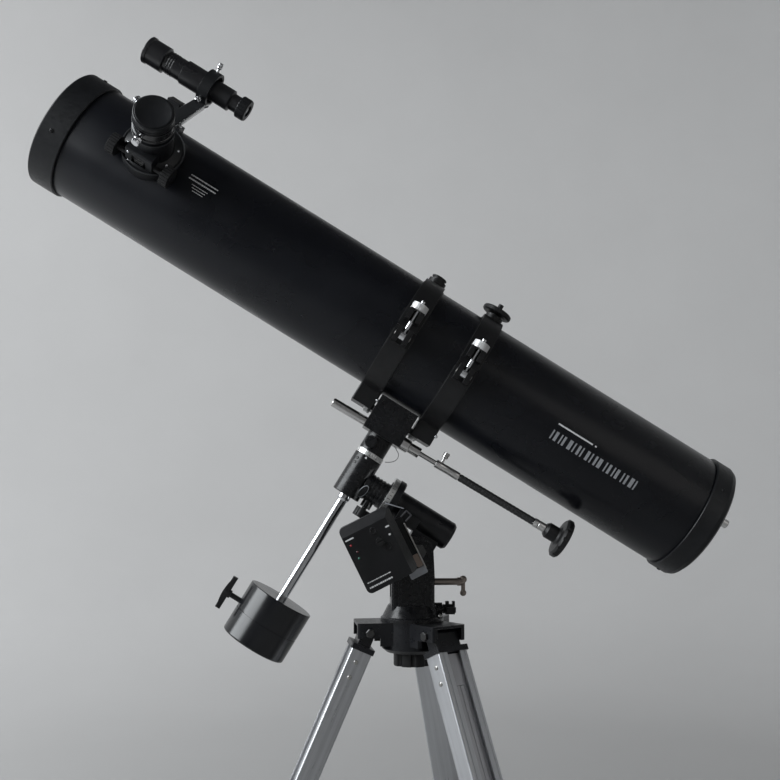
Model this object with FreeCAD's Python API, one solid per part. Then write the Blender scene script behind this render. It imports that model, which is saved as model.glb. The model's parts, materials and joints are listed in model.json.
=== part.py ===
"""Newtonian reflector telescope on a German equatorial mount with an aluminium tripod.

Row frame: the origin is on the floor below the azimuth axis, +Z is up, the tube lies in the XZ plane and
points to -X and up.  All sizes are in millimetres.
"""
import FreeCAD
import Part
import math
import os
from FreeCAD import Vector, Placement, Rotation

os.makedirs("parts", exist_ok=True)

# ---- tripod -------------------------------------------------------------------------------------
HUB_TOP = 700.0            # top face of the tripod hub above the floor
HUB_R = 35.0
HUB_HEIGHT = 31.0
LEG_TILT = 23.7            # degrees from vertical, legs spread
LEG_AZIMUTHS = (185.0, 305.0, 65.0)
HINGE_R = 52.0             # leg pivot: distance from the azimuth axis
HINGE_DROP = 11.0          # leg pivot: below the hub's top face
LEG_W = 42.0               # extrusion width
LEG_D = 25.0               # extrusion depth
RAIL_TOP = 22.5            # distances along a leg are measured down from its pivot
RAIL_END = 650.0
LOWER_TOP = 60.0
LOWER_END = 736.0
LEG_LENGTH = 752.5
LOWER_W = 21.6
LOWER_D = 18.0
BRACE_AT = 235.0           # brace pivot along the leg
BRACE_OFF = 20.0           # brace pivot inward of the leg's centre line
BRACE_SLOPE = 50.0         # degrees below horizontal
TRAY_PIVOT_R = 30.0
BRACE_PIN_R = 2.5
BRACE_SLOT_UP = 4.2        # slot length above and below the tray pin, legs spread
BRACE_SLOT_DOWN = 16.6
# ---- mount --------------------------------------------------------------------------------------
LATITUDE = 31.67           # degrees
AXES_X = -66.4             # crossing of the polar and declination axes
AXES_Z = HUB_TOP + 163.9
LAT_X = 6.0                # latitude pivot
LAT_Z = HUB_TOP + 80.0
TBOLT_Z = HUB_TOP + 44.0
NOSE_R = 6.0
NOSE_X = 6.0
# ---- tube ---------------------------------------------------------------------------------------
TUBE_V = 171.0             # tube axis above the polar axis
TUBE_R = 70.0
TUBE_WALL = 1.5
TUBE_FRONT = -512.0
TUBE_REAR = 378.0
RING_U = 40.0              # tube rings sit at -RING_U and +RING_U
RING_W = 25.0
RING_R = 76.0
RING_BORE = 70.1
STAVES = 16                # the shell is built of this many long strips
SEAM = 0.01                # half of the gap between two strips
FOCUS_U = -390.0
FOCUS_TURN = 72.0          # degrees from straight up, towards -Y
SADDLE_R = 35.0            # focuser saddle
PORT_HALF = 21.5           # half the length of the port under the focuser
BODY_TOP = 113.6           # focuser heights are measured from the tube axis
HOLDER_LOW = 118.6
HOLDER_TOP = 133.6
PINION_Y = -23.6
PINION_Z = 80.0
THUMBSCREW_TURNS = (268.0, 157.0)
KNOB_X = 29.5              # inner face of the focus knobs
FINDER_TURN = 27.0
FINDER_R = 134.0           # finder axis from the tube axis
COUNTER_TOP = -162.0
COUNTER_H = 62.0
COUNTER_R = 39.5
ROD_R = 6.0
DRIVE_U = 62.0             # middle of the drive case
DRIVE_V = -54.0
DRIVE_TURN = 32.0          # its long side below the polar axis
DRIVE_LONG = 39.0          # half sizes
DRIVE_WIDE = 31.0
DRIVE_FRONT = -75.0
DRIVE_BACK = -36.0
WORM_SLOPE = -0.95         # degrees between the slow-motion rod and the tube
ROD_BARE_R = 5.4
HINGE_Y = 84.0             # ring hinges and ring bolts, sideways from the tube axis
BOLT_Y = -86.0
RUN = 0.05                 # radial running clearance
TOUCH = 0.02               # gap between parts that sit on each other

X = Vector(1, 0, 0)
Y = Vector(0, 1, 0)
Z = Vector(0, 0, 1)
HEAD = Placement(Vector(AXES_X, 0, AXES_Z), Rotation(Y, LATITUDE))
WORM = Placement(Vector(0, -12, 63.2), Rotation(Y, WORM_SLOPE))


# ---- helpers ------------------------------------------------------------------------------------
def cyl(r, h, at=(0, 0, 0), axis=Z):
    return Part.makeCylinder(r, h, Vector(*at), axis)


def cone(r1, r2, h, at=(0, 0, 0), axis=Z):
    return Part.makeCone(r1, r2, h, Vector(*at), axis)


def tube(ro, ri, h, at=(0, 0, 0), axis=Z):
    start = Vector(*at)
    return Part.makeCylinder(ro, h, start, axis).cut(
        Part.makeCylinder(ri, h + 2, start - axis * 1.0, axis)
    )


def box(x0, x1, y0, y1, z0, z1):
    return Part.makeBox(x1 - x0, y1 - y0, z1 - z0, Vector(x0, y0, z0))


def prism(points, depth, origin, normal):
    """A polygon of 3-D points pushed along a normal."""
    corners = [Vector(*p) + Vector(*origin) for p in points]
    face = Part.Face(Part.makePolygon(corners + [corners[0]]))
    return face.extrude(normal * depth)


def revolve(profile, axis=Z, at=(0, 0, 0)):
    """Profile of (radius, height) pairs turned about an axis."""
    points = [Vector(r, 0, h) for r, h in profile]
    face = Part.Face(Part.makePolygon(points + [points[0]]))
    solid = face.revolve(Vector(0, 0, 0), Z, 360)
    solid.Placement = Placement(Vector(*at), Rotation(Z, axis))
    return solid


def fuse(*shapes):
    first = shapes[0]
    return first.fuse(list(shapes[1:])).removeSplitter()


def soften(shape, radius, wanted):
    """Rounds the edges that the test picks, or leaves the shape alone if they can't be rounded."""
    edges = [e for e in shape.Edges if wanted(e)]
    try:
        done = shape.makeFillet(radius, edges)
        return done if done.isValid() and done.Volume > 0 else shape
    except Exception:
        return shape


def along(axis):
    def test(e):
        try:
            return abs(abs(e.tangentAt(e.FirstParameter).dot(axis)) - 1) < 1e-6 and e.Length > 1
        except Exception:
            return False
    return test


def moved(shape, placement):
    out = shape.copy()
    out.Placement = placement.multiply(out.Placement)
    return out


def turned(shape, axis, degrees, at=(0, 0, 0)):
    out = shape.copy()
    out.rotate(Vector(*at), axis, degrees)
    return out


def knurl(r, h, at, axis, count=24, depth=0.7):
    """A knurled cylinder: shallow grooves along its side."""
    body = cyl(r, h)
    grooves = []
    for i in range(count):
        a = 2 * math.pi * i / count
        grooves.append(cyl(depth, h + 2, ((r + 0.15) * math.cos(a), (r + 0.15) * math.sin(a), -1)))
    body = body.cut(grooves)
    body.Placement = Placement(Vector(*at), Rotation(Z, axis))
    return body


def save(name, shape, head=False):
    if head:
        shape = moved(shape, HEAD)
    solids = shape.Solids
    out = solids[0] if len(solids) == 1 else Part.makeCompound(solids)
    bad = [s for s in solids if not s.isValid() or s.Volume <= 0]
    state = "BAD" if bad or not solids else ""
    print(name, len(solids), "solids", round(out.Volume / 1000, 2), "cm3", state)
    out.exportStep("parts/" + name + ".step")


# ---- tripod -------------------------------------------------------------------------------------
def leg_place(azimuth):
    """From leg coordinates (pivot at the origin, leg along -Z, outward +X) to the row frame."""
    spread = Placement(Vector(HINGE_R, 0, HUB_TOP - HINGE_DROP), Rotation(Y, -LEG_TILT))
    return Placement(Vector(0, 0, 0), Rotation(Z, azimuth)).multiply(spread)


def tripod_hub():
    low = HUB_TOP - HUB_HEIGHT
    body = fuse(cyl(HUB_R, HUB_HEIGHT, (0, 0, low)), cone(HUB_R - 5, HUB_R, 4, (0, 0, low - 4)))
    for azimuth in LEG_AZIMUTHS:
        lug = box(20, 66, -24, 24, HUB_TOP - 17, HUB_TOP)
        lug = soften(lug, 3, along(Z))
        rib = box(24, 58, -24, -19.5, HUB_TOP - 26, HUB_TOP - 10)
        rib2 = box(24, 40, 19.5, 24, HUB_TOP - 26, HUB_TOP - 10)
        web = fuse(lug, rib.common(cyl(46, 40, (0, 0, HUB_TOP - 40))), rib2)
        body = fuse(body, turned(web, Z, azimuth))
    for azimuth in LEG_AZIMUTHS:
        slot = box(HINGE_R - 10, 80, -17.6, 17.6, HUB_TOP - 60, HUB_TOP - 3.2)
        pin = cyl(3.0 + RUN, 60, (HINGE_R, -30, HUB_TOP - HINGE_DROP), Y)
        body = body.cut([turned(slot, Z, azimuth), turned(pin, Z, azimuth)])
    body = body.cut(cyl(5.2, 80, (0, 0, low - 20)))
    body = body.cut(cyl(26, HUB_HEIGHT - 8, (0, 0, low - 6)).cut(cyl(12, 60, (0, 0, low - 20))))
    return body


def hub_center_knob():
    low = HUB_TOP - HUB_HEIGHT - 5
    knob = cyl(21.5, 14.5, (0, 0, low - 14.7))
    lobes = [cyl(3.8, 18, (23.4 * math.cos(a), 23.4 * math.sin(a), low - 16.0))
             for a in [2 * math.pi * i / 8 for i in range(8)]]
    knob = knob.cut(lobes)
    neck = cyl(9, 4, (0, 0, low - 4))
    bolt = cyl(5.0, 52, (0, 0, low - 0.5))
    return fuse(knob, neck.cut(cyl(9.5, 0.4, (0, 0, low - 0.2))), bolt)


def leg_rail():
    """Upper leg: two hollow side rails with a web between their backs, open to the front."""
    half_w, half_d = LEG_W / 2, LEG_D / 2
    inner = LOWER_W / 2 + 0.1
    low, high = -RAIL_END - 1, -RAIL_TOP + 1
    outer = soften(box(-half_d, half_d, -half_w, half_w, -RAIL_END, -RAIL_TOP), 3.0, along(Z))
    pieces = [box(-half_d, -half_d + 2.0, -inner + TOUCH, inner - TOUCH, -RAIL_END, -RAIL_TOP)]
    rail = outer.common(box(-half_d, half_d, inner, half_w, low, high))
    rail = rail.fuse(box(half_d - 1.8, half_d, inner - 1.6, inner + 0.4, -RAIL_END, -RAIL_TOP))
    rail = rail.cut([
        box(-half_d + 2.4, half_d - 2.4, inner + 2.2, half_w - 2.4, low, high),
        box(half_d - 0.5, half_d + 1, 15.1, 16.1, low, high),
    ]).removeSplitter()
    pieces.append(rail)
    pieces.append(rail.mirror(Vector(0, 0, 0), Y))
    return Part.makeCompound(pieces)


def leg_fittings():
    """Top hinge fitting, brace bracket and bottom clamp, three mouldings."""
    tongue = fuse(cyl(7.5, 34.8, (0, -17.4, 0), Y), box(-7.5, 7.5, -17.4, 17.4, -18, 0))
    pin = cyl(3.0, 48, (0, -24, 0), Y)
    flange = soften(box(-14, 14, -22.5, 22.5, -RAIL_TOP, -16.4), 2.0, along(Z))
    plug = box(-10.3, 6.8, -LOWER_W / 2, LOWER_W / 2, -48, -RAIL_TOP + 0.5)
    top = fuse(tongue, pin, flange, plug)
    band = box(-14.5, 14.5, -23, 23, -BRACE_AT - 9, -BRACE_AT + 9)
    band = soften(band, 3.0, along(Z))
    rail_w, rail_d = LEG_W / 2 + TOUCH, LEG_D / 2 + TOUCH
    rail_space = box(-rail_d, 30, -rail_w, rail_w, -BRACE_AT - 20, -BRACE_AT + 20)
    arm_space = box(-15, -12, -2.5, 2.5, -BRACE_AT - 10, -BRACE_AT + 7)
    band = band.cut([rail_space, arm_space])
    lip = fuse(box(12.6, 14.5, 12.5, 23, -BRACE_AT - 9, -BRACE_AT + 9),
               box(12.6, 14.5, -23, -12.5, -BRACE_AT - 9, -BRACE_AT + 9))
    ears = []
    for y0 in (-7.5, 2.5):
        ear = fuse(cyl(6, 5, (-BRACE_OFF, y0, -BRACE_AT), Y),
                   box(-BRACE_OFF, -13.0, y0, y0 + 5, -BRACE_AT - 6, -BRACE_AT + 6))
        ears.append(ear)
    bracket = fuse(band, lip, ears[0], ears[1], cyl(BRACE_PIN_R, 13, (-BRACE_OFF, -6.5, -BRACE_AT), Y))
    z0, z1 = -RAIL_END - 18, -RAIL_END + 26
    clamp = soften(box(-17, 17, -25.5, 25.5, z0, z1), 3.0, along(Z))
    clamp = clamp.cut(box(-rail_d, rail_d, -rail_w, rail_w, -RAIL_END, z1 + 5))
    lower_w = LOWER_W / 2 + 0.1
    clamp = clamp.cut(box(-LEG_D / 2 + 1.8, -LEG_D / 2 + 2.4 + LOWER_D, -lower_w, lower_w, z0 - 5, z1 + 5))
    boss = cone(9, 7.5, 12, (15, 0, -RAIL_END - 8), X)
    boss = boss.cut(cyl(3.0 + RUN, 40, (0, 0, -RAIL_END - 8), X))
    clamp = clamp.cut(cyl(3.0 + RUN, 40, (0, 0, -RAIL_END - 8), X))
    clamp = clamp.fuse(boss)
    return Part.makeCompound([top, bracket, clamp])


def leg_lower():
    """Sliding lower leg: a hollow bar with three fine grooves in its outer face."""
    back = -LEG_D / 2 + 2.1
    front = back + LOWER_D
    half = LOWER_W / 2
    low, high = -LOWER_END - 1, -LOWER_TOP + 1
    body = soften(box(back, front, -half, half, -LOWER_END, -LOWER_TOP), 1.5, along(Z))
    body = body.cut(box(back + 1.6, front - 1.6, -half + 1.6, half - 1.6, low, high))
    for y in (-6.0, 0.0, 6.0):
        body = body.cut(box(front - 0.5, front + 1, y - 0.5, y + 0.5, low, high))
    return body


def leg_foot():
    """Rubber cup over the end of the lower leg, with a tapered tip."""
    back = -LEG_D / 2 + 2.1
    front = back + LOWER_D
    half = LOWER_W / 2
    low, high = -LOWER_END, -LOWER_END + 22
    sleeve = soften(box(back - 2.4, front + 2.4, -half - 2.4, half + 2.4, low, high), 2.4, along(Z))
    sleeve = sleeve.cut(box(back - TOUCH, front + TOUCH, -half - TOUCH, half + TOUCH, low + 0.01, 0))
    tip = cone(9.0, 12.5, LEG_LENGTH - LOWER_END + 6, ((back + front) / 2, 0, -LEG_LENGTH - 6))
    return sleeve.fuse(tip).removeSplitter()


def leg_lock_knob():
    z = -RAIL_END - 8
    x_end = -LEG_D / 2 + 2.1 + LOWER_D + 0.15
    stem = cyl(3.0, 29.5 - x_end, (x_end, 0, z), X)
    hub = cone(7.5, 6.5, 12, (27.4, 0, z), X)
    wing = box(29, 40, -16, 16, z - 3, z + 3)
    wing = soften(wing, 2.5, along(X))
    return fuse(stem, hub, wing)


def tray_pivot():
    """Brace geometry in one leg's radial plane: leg pivot, tray pivot and their distance."""
    t = math.radians(LEG_TILT)
    r = HINGE_R + BRACE_AT * math.sin(t) - BRACE_OFF * math.cos(t)
    z = HUB_TOP - HINGE_DROP - BRACE_AT * math.cos(t) - BRACE_OFF * math.sin(t)
    s = math.radians(BRACE_SLOPE)
    length = (r - TRAY_PIVOT_R) / math.cos(s)
    return r, z, length, z - length * math.sin(s)


def brace_arm(azimuth):
    r, z, length, tray_z = tray_pivot()
    slot_from = length - BRACE_SLOT_UP
    slot_to = length + BRACE_SLOT_DOWN
    slot_half = BRACE_PIN_R + 0.9
    bar = fuse(box(0, slot_to, -2.2, 2.2, -6, 6), cyl(6, 4.4, (0, -2.2, 0), Y),
               cyl(6, 4.4, (slot_to, -2.2, 0), Y))
    groove = box(16, length - 18, 1.4, 3, -3, 3)
    slot = fuse(box(slot_from, slot_to, -5, 5, -slot_half, slot_half),
                cyl(slot_half, 10, (slot_from, -5, 0), Y), cyl(slot_half, 10, (slot_to, -5, 0), Y))
    bar = bar.cut([groove, slot, cyl(BRACE_PIN_R + RUN, 10, (0, -5, 0), Y)])
    bar.Placement = Placement(Vector(r, 0, z), Rotation(Y, 180.0 - BRACE_SLOPE))
    return turned(bar, Z, azimuth)


def spreader_tray():
    tray_z = tray_pivot()[3]
    top = tray_z + 11.0
    plate = cyl(26, 4, (0, 0, top - 4))
    for azimuth in LEG_AZIMUTHS:
        a = azimuth + 60
        lobe = cyl(22, 4, (48, 0, top - 4))
        arm = box(0, 48, -16, 16, top - 4, top)
        plate = plate.fuse([turned(lobe, Z, a), turned(arm, Z, a)])
    plate = plate.fuse(cyl(9, 14, (0, 0, top - 18)))
    for azimuth in LEG_AZIMUTHS:
        for y0 in (-7.4, 3.0):
            lug = fuse(cyl(5.5, 4.4, (TRAY_PIVOT_R, y0, tray_z), Y),
                       box(TRAY_PIVOT_R - 24, TRAY_PIVOT_R + 1.5, y0, y0 + 4.4, tray_z - 2, top - 2))
            plate = plate.fuse(turned(lug, Z, azimuth))
        pin = cyl(BRACE_PIN_R, 12, (TRAY_PIVOT_R, -6, tray_z), Y)
        plate = plate.fuse(turned(pin, Z, azimuth))
    holes = []
    for azimuth in LEG_AZIMUTHS:
        holes.append(turned(cyl(16.1, 20, (48, 0, top - 12)), Z, azimuth + 60))
        holes.append(turned(box(TRAY_PIVOT_R + 3, 60, -3, 3, top - 12, top + 2), Z, azimuth))
        holes.append(turned(box(14.5, TRAY_PIVOT_R + 20, -2.9, 2.9, top - 12, top + 2), Z, azimuth).cut(
            turned(cyl(BRACE_PIN_R, 12, (TRAY_PIVOT_R, -6, tray_z), Y), Z, azimuth)))
    return plate.cut(holes).removeSplitter()


# ---- azimuth base -------------------------------------------------------------------------------
def azimuth_base():
    """Turntable, cone and the two ears that hold the polar housing."""
    t = HUB_TOP
    foot = revolve([
        (0, t + 0.05), (36.5, t + 0.05), (36.5, t + 4), (34.5, t + 5.5), (28, t + 18), (0, t + 18),
    ])
    tower = soften(box(-25, 25, -21, 21, t + 10, t + 58), 5.0, along(Z))
    shape = fuse(foot, tower)
    for y0 in (-21.0, 11.2):
        ear = fuse(cyl(17.5, 9.8, (LAT_X, y0, LAT_Z), Y),
                   prism([(-25, 0, 0), (25, 0, 0), (LAT_X + 17.5, 0, 34), (LAT_X - 17.5, 0, 34)], 9.8,
                         (0, y0, t + 46), Y))
        shape = shape.fuse(ear)
    shape = shape.removeSplitter()
    gap = box(-40, 40, -11.2, 11.2, t + 26, t + 140)
    wall = box(18, 25, -11.2, 11.2, t + 26, t + 56)
    shape = shape.cut(gap).fuse(wall)
    shape = shape.cut([
        cyl(5.0 + RUN, 22, (0, 0, t - 1)),
        cyl(4.0 + RUN, 40, (10, 0, TBOLT_Z), X),
        cyl(5.0 + RUN, 60, (LAT_X, -30, LAT_Z), Y),
        cyl(3.0 + RUN, 20, (26, 0, t + 12.5), X),
    ])
    boss = cyl(7.5, 11, (24, 0, t + 12.5), X).cut(cyl(3.0 + RUN, 20, (20, 0, t + 12.5), X))
    arch = box(-17, 17, -22.6, -20.5, t + 17, t + 52).cut(box(-13.5, 13.5, -25, -18, t + 21, t + 60))
    return shape.fuse([boss, arch]).removeSplitter()


def azimuth_lock_knob():
    t = HUB_TOP + 12.5
    stem = cyl(3.0, 14, (26.2, 0, t), X)
    hub = cyl(5.5, 12, (36.0, 0, t), X)
    wing = box(39, 50, -13, 13, t - 3, t + 3).cut(cyl(6, 10, (52, 0, t - 5), Z))
    upright = box(39, 50, -3, 3, t - 6, t + 9).cut(box(43, 47, -5, 5, t + 5.5, t + 12))
    return fuse(stem, hub, wing, upright)


def latitude_bolt():
    """T-bolt: its tip bears on the polar housing's nose."""
    tip = NOSE_X + NOSE_R + 0.3
    rod = cyl(4.0, 61 - tip, (tip, 0, TBOLT_Z), X)
    cross = cyl(2.4, 16.5, (60, 0, TBOLT_Z - 13), Z)
    collar = cyl(4.9, 4, (53, 0, TBOLT_Z), X)
    high = Part.makeSphere(4.4, Vector(60, 0, TBOLT_Z + 2.5))
    low = Part.makeSphere(3.8, Vector(60, 0, TBOLT_Z - 13))
    return fuse(rod, cross, collar, high, low)


def hexagon(radius, at, push):
    """A hexagonal head lying in the XZ plane, pushed out along Y."""
    x, y, z = at
    corners = []
    for i in range(7):
        a = math.radians(60 * i)
        corners.append(Vector(x + radius * math.cos(a), y, z + radius * math.sin(a)))
    return Part.Face(Part.makePolygon(corners)).extrude(Vector(0, push, 0))


def latitude_pivot_bolt():
    shank = cyl(5.0, 50, (LAT_X, -25, LAT_Z), Y)
    head = hexagon(9.0, (LAT_X, -21.05, LAT_Z), -6)
    nut = hexagon(9.0, (LAT_X, 21.05, LAT_Z), 7)
    return fuse(shank, head, nut)


# ---- polar axis, in head coordinates (x = u along the polar axis, z = v towards the tube) ---------
def head_point(x, z):
    dx, dz = x - AXES_X, z - AXES_Z
    a = math.radians(LATITUDE)
    return dx * math.cos(a) - dz * math.sin(a), dx * math.sin(a) + dz * math.cos(a)


LAT_U, LAT_V = head_point(LAT_X, LAT_Z)


def ra_housing():
    """Polar barrel with its flange, the pivot lug and the nose that the T-bolt pushes."""
    barrel = revolve([
        (0, 48), (27, 48), (27, 54.5), (25.5, 56), (17.5, 56),
        (17, 60), (17, 128), (14.5, 131), (0, 131),
    ], X)
    block = box(LAT_U - 17, LAT_U + 15.5, -11, 11, LAT_V, -8)
    lug = fuse(cyl(15.5, 22, (LAT_U, -11, LAT_V), Y), block)
    nose_u, nose_v = head_point(NOSE_X, TBOLT_Z)
    nose = cyl(NOSE_R, 20, (nose_u, -10, nose_v), Y)
    stalk = box(-5, 5, -10, 10, -20, 20)
    middle = Vector((LAT_U + nose_u) / 2, 0, (LAT_V + nose_v) / 2)
    stalk.Placement = Placement(middle, Rotation(Y, -LATITUDE))
    shape = fuse(barrel, lug, stalk, nose)
    return shape.cut([
        cyl(9.0 + RUN, 90, (40, 0, 0), X),
        cyl(20.0 + RUN, 9, (39.5, 0, 0), X),
        cyl(5.0 + RUN, 60, (LAT_U, -30, LAT_V), Y),
    ])


def ra_setting_circle():
    ring = tube(26.0, 20 + RUN, 6.6, (41.0, 0, 0), X)
    marks = []
    for i in range(36):
        tick = box(43.5 if i % 3 else 42.2, 46.2, -0.35, 0.35, 25.6, 27)
        marks.append(turned(tick, X, 10 * i))
    return ring.cut(marks)


def dec_housing():
    """Casting that joins the polar shaft to the declination barrel."""
    barrel = revolve([(0, -22), (9, -22), (15, -19.5), (17, -15), (17, 29.3), (0, 29.3)], Z)
    neck_parts = [cyl(16.0, 28, (12, 0, 0), X), cyl(20, 7.8, (40, 0, 0), X), cyl(9.0, 82, (45, 0, 0), X)]
    shape = fuse(barrel, *neck_parts)
    ribs = [tube(20, 15.2, 2.0, (19.5 + 4.6 * i, 0, 0), X) for i in range(4)]
    shape = shape.cut(ribs)
    boss = cyl(6.5, 9, (27, 0, -14), Vector(0, 0, -1))
    shape = shape.fuse(boss)
    shape = shape.cut([
        cyl(9.0 + RUN, 60, (0, 0, -10), Z),
        cyl(5.0 + RUN, 20, (0, 0, -26), Z),
        cyl(3.0 + RUN, 20, (27, 0, -10), Vector(0, 0, -1)),
    ])
    return shape.removeSplitter()


def ra_lock_knob():
    stem = cyl(3.0, 14, (27, 0, -12.5), Vector(0, 0, -1))
    grip = cyl(9, 11, (27, 0, -25.0), Vector(0, 0, -1))
    notches = [cyl(2.0, 14, (27 + 10.2 * math.cos(a), 10.2 * math.sin(a), -37), Z)
               for a in [2 * math.pi * i / 6 for i in range(6)]]
    return fuse(stem, grip.cut(notches))


def drive_place():
    """The drive case: x along its long side, y towards the tube's far side, z across."""
    return Placement(Vector(DRIVE_U, 0, DRIVE_V), Rotation(Y, DRIVE_TURN))


def drive_box():
    """Moulded case with two sloping sides, the plate behind it and the post that holds it."""
    long_half, wide_half, front = DRIVE_LONG, DRIVE_WIDE, DRIVE_FRONT
    slope_y = front + 17
    case = box(-long_half, long_half, front, DRIVE_BACK, -wide_half, wide_half)
    case = soften(case, 6.0, along(Y))
    top_slope = prism([
        (-long_half, slope_y, 0), (-long_half + 10, front, 0), (-long_half + 11, front - 9, 0),
        (-long_half - 9, front - 9, 0), (-long_half - 9, slope_y, 0),
    ], 120, (0, 0, -60), Z)
    side_slope = prism([
        (0, slope_y, wide_half), (0, front, wide_half - 9), (0, front - 9, wide_half - 10),
        (0, front - 9, wide_half + 9), (0, slope_y, wide_half + 9),
    ], 120, (-60, 0, 0), X)
    case = case.cut([top_slope, side_slope])
    plate = box(-20, long_half + 1, DRIVE_BACK - 0.5, DRIVE_BACK + 5, -12, wide_half + 9)
    plate = soften(plate, 4.0, along(Y))
    case = fuse(case, plate).cut(cyl(3.0 + RUN, 20, (-8, front - 5, 5), Y))
    case.Placement = drive_place()
    post = box(62, 88, -34, -9, -16, -2)
    barrel_space = cyl(17.0 + TOUCH, 100, (40, 0, 0), X)
    return fuse(case, post.cut(barrel_space))


def drive_dial():
    face = DRIVE_FRONT - 0.1
    dial = fuse(cyl(4.5, 4, (-8, face, 5), Vector(0, -1, 0)), cyl(3.0, 12, (-8, face - 1, 5), Y))
    dial = dial.cut(box(-8.6, -7.4, face - 5, face - 3.2, 1, 9))
    dial.Placement = drive_place()
    return dial


# ---- declination axis ---------------------------------------------------------------------------
def dec_setting_circle():
    ring = tube(17.0, 15 + RUN, 6.0, (0, 0, 29.4), Z)
    marks = []
    for i in range(36):
        tick = box(16.6, 18, -0.3, 0.3, 31.4 if i % 3 else 30.2, 36)
        marks.append(turned(tick, Z, 10 * i))
    return ring.cut(marks)


def dec_head():
    """Declination shaft, neck and the worm case that carries the tube cradle."""
    shaft = cyl(9.0, 48, (0, 0, -9.9), Z)
    neck = fuse(cyl(15, 8, (0, 0, 29.45), Z), revolve([(0, 35.5), (16, 35.5), (16, 58), (0, 58)], Z))
    case = soften(box(-25, 24, -26, 24, 56.5, 77), 0.8, along(Y))
    front = soften(box(-25, 24, -26, -22.6, 56.5, 99), 0.8, along(Y))
    shape = fuse(shaft, neck, case, front)
    bore = fuse(cyl(ROD_BARE_R + RUN, 60, (-35, 0, 0), X), cyl(8.0 + RUN, 10, (22.5, 0, 0), X))
    shape = shape.cut([
        moved(bore, WORM),
        cyl(3.0 + RUN, 9, (-7.5, -21.2, 45.5), Y),
    ])
    for u in (-17.0, 17.0):
        shape = shape.cut(tube(3.4, 2.0, 1.2, (u, -26, 92), Y))
    return shape


def dec_lock_knob():
    stem = cyl(3.0, 8, (-7.5, -21, 45.5), Y)
    corners = []
    for i in range(9):
        a = math.radians(45 * i + 22.5)
        corners.append(Vector(-7.5 + 7.6 * math.cos(a), -16.2, 45.5 + 7.6 * math.sin(a)))
    head = Part.Face(Part.makePolygon(corners)).extrude(Vector(0, -10, 0))
    collar = cyl(6, 1.2, (-7.5, -27.2, 45.5), Y)
    return fuse(stem, head, collar)


def worm_shaft():
    """Slow-motion worm rod: bare rod in front, sleeve and cable collar behind."""
    rod = cyl(ROD_BARE_R, 91, (-69, 0, 0), X)
    tip = cone(ROD_BARE_R - 1, ROD_BARE_R, 1.0, (-70, 0, 0), X)
    sleeve = revolve([
        (0, 21.9), (5.0, 21.9), (5.0, 22.6), (8, 22.6), (8, 33), (6.2, 34.5), (6.2, 48),
        (2.9, 48), (2.9, 70), (0, 70),
    ], X)
    collar = revolve([(0, 69.9), (4.6, 69.9), (4.6, 101), (3.6, 102.5), (0, 102.5)], X)
    screw = fuse(cyl(1.5, 12, (76, 0, 0), Z), cyl(3.4, 7, (76, 0, 10), Z))
    return moved(fuse(rod, tip, sleeve, collar, screw), WORM)


def slow_motion_cable():
    """Flexible drive cable with its end ferrule."""
    profile = [(0, 102.5), (4.2, 102.5)]
    for i in range(20):
        u = 103.0 + 5.0 * i
        profile += [(4.5, u + 0.6), (4.5, u + 3.6), (4.15, u + 4.2)]
    profile += [(4.15, 203.5), (5.0, 203.5), (5.0, 219), (0, 219)]
    return moved(revolve(profile, X), WORM)


def slow_motion_knob():
    """Cupped grip with a lobed rim at the end of the cable."""
    u = 219.05
    knob = revolve([
        (0, u), (7, u), (9.5, u + 3), (9.5, u + 15), (12, u + 17), (21, u + 18), (24, u + 20.5),
        (24, u + 25), (22, u + 27), (8, u + 24.5), (0, u + 24.5),
    ], X)
    lobes = [cyl(2.4, 12, (u + 17, 25.2 * math.cos(a), 25.2 * math.sin(a)), X)
             for a in [2 * math.pi * i / 12 for i in range(12)]]
    return moved(knob.cut(lobes), WORM)


def counterweight_rod():
    thread = cyl(5.0, 12, (0, 0, -31), Z)
    shoulder = revolve([(0, -29.5), (ROD_R, -29.5), (7.5, -27), (7.5, -22.1), (0, -22.1)], Z)
    rod = revolve([(0, -222), (4.8, -222), (ROD_R, -220.8), (ROD_R, -28), (0, -28)], Z)
    return fuse(rod, shoulder, thread)


def counterweight():
    r, top, low = COUNTER_R, COUNTER_TOP, COUNTER_TOP - COUNTER_H
    body = cyl(r, COUNTER_H, (0, 0, low), Z)
    body = body.makeFillet(2.0, [e for e in body.Edges if abs(e.BoundBox.ZMax - low) < 1e-3])
    body = body.makeFillet(1.0, [e for e in body.Edges if abs(e.BoundBox.ZMin - top) < 1e-3])
    groove = tube(r + 2, r - 1.0, 1.6, (0, 0, top - 33), Z)
    return body.cut([
        groove,
        cyl(ROD_R + RUN, 80, (0, 0, low - 5), Z),
        cyl(3.0 + RUN, 60, (-60, 0, top - 27), X),
    ])


def counterweight_knob():
    v = COUNTER_TOP - 27
    stem = cyl(3.0, 47, (-55, 0, v), X)
    hub = cone(5.5, 4.6, 8, (-60, 0, v), X)
    bar = box(-60.5, -54.5, -4, 4, v - 20, v + 20)
    bar = bar.fuse(cyl(60, 8, (-2, -4, v), Y).common(box(-66, -54.5, -4, 4, v - 20, v + 20)))
    bar = soften(bar.removeSplitter(), 1.2, along(Z))
    return fuse(stem, hub, bar)


# ---- tube cradle --------------------------------------------------------------------------------
def half_ring(u, upper):
    ring = tube(RING_R, RING_BORE, RING_W, (u - RING_W / 2, 0, TUBE_V), X)
    if upper:
        keep = box(u - 30, u + 30, -200, 200, TUBE_V + 0.3, TUBE_V + 200)
    else:
        keep = box(u - 30, u + 30, -200, 200, TUBE_V - 200, TUBE_V - 0.3)
    return ring.common(keep)


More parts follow.
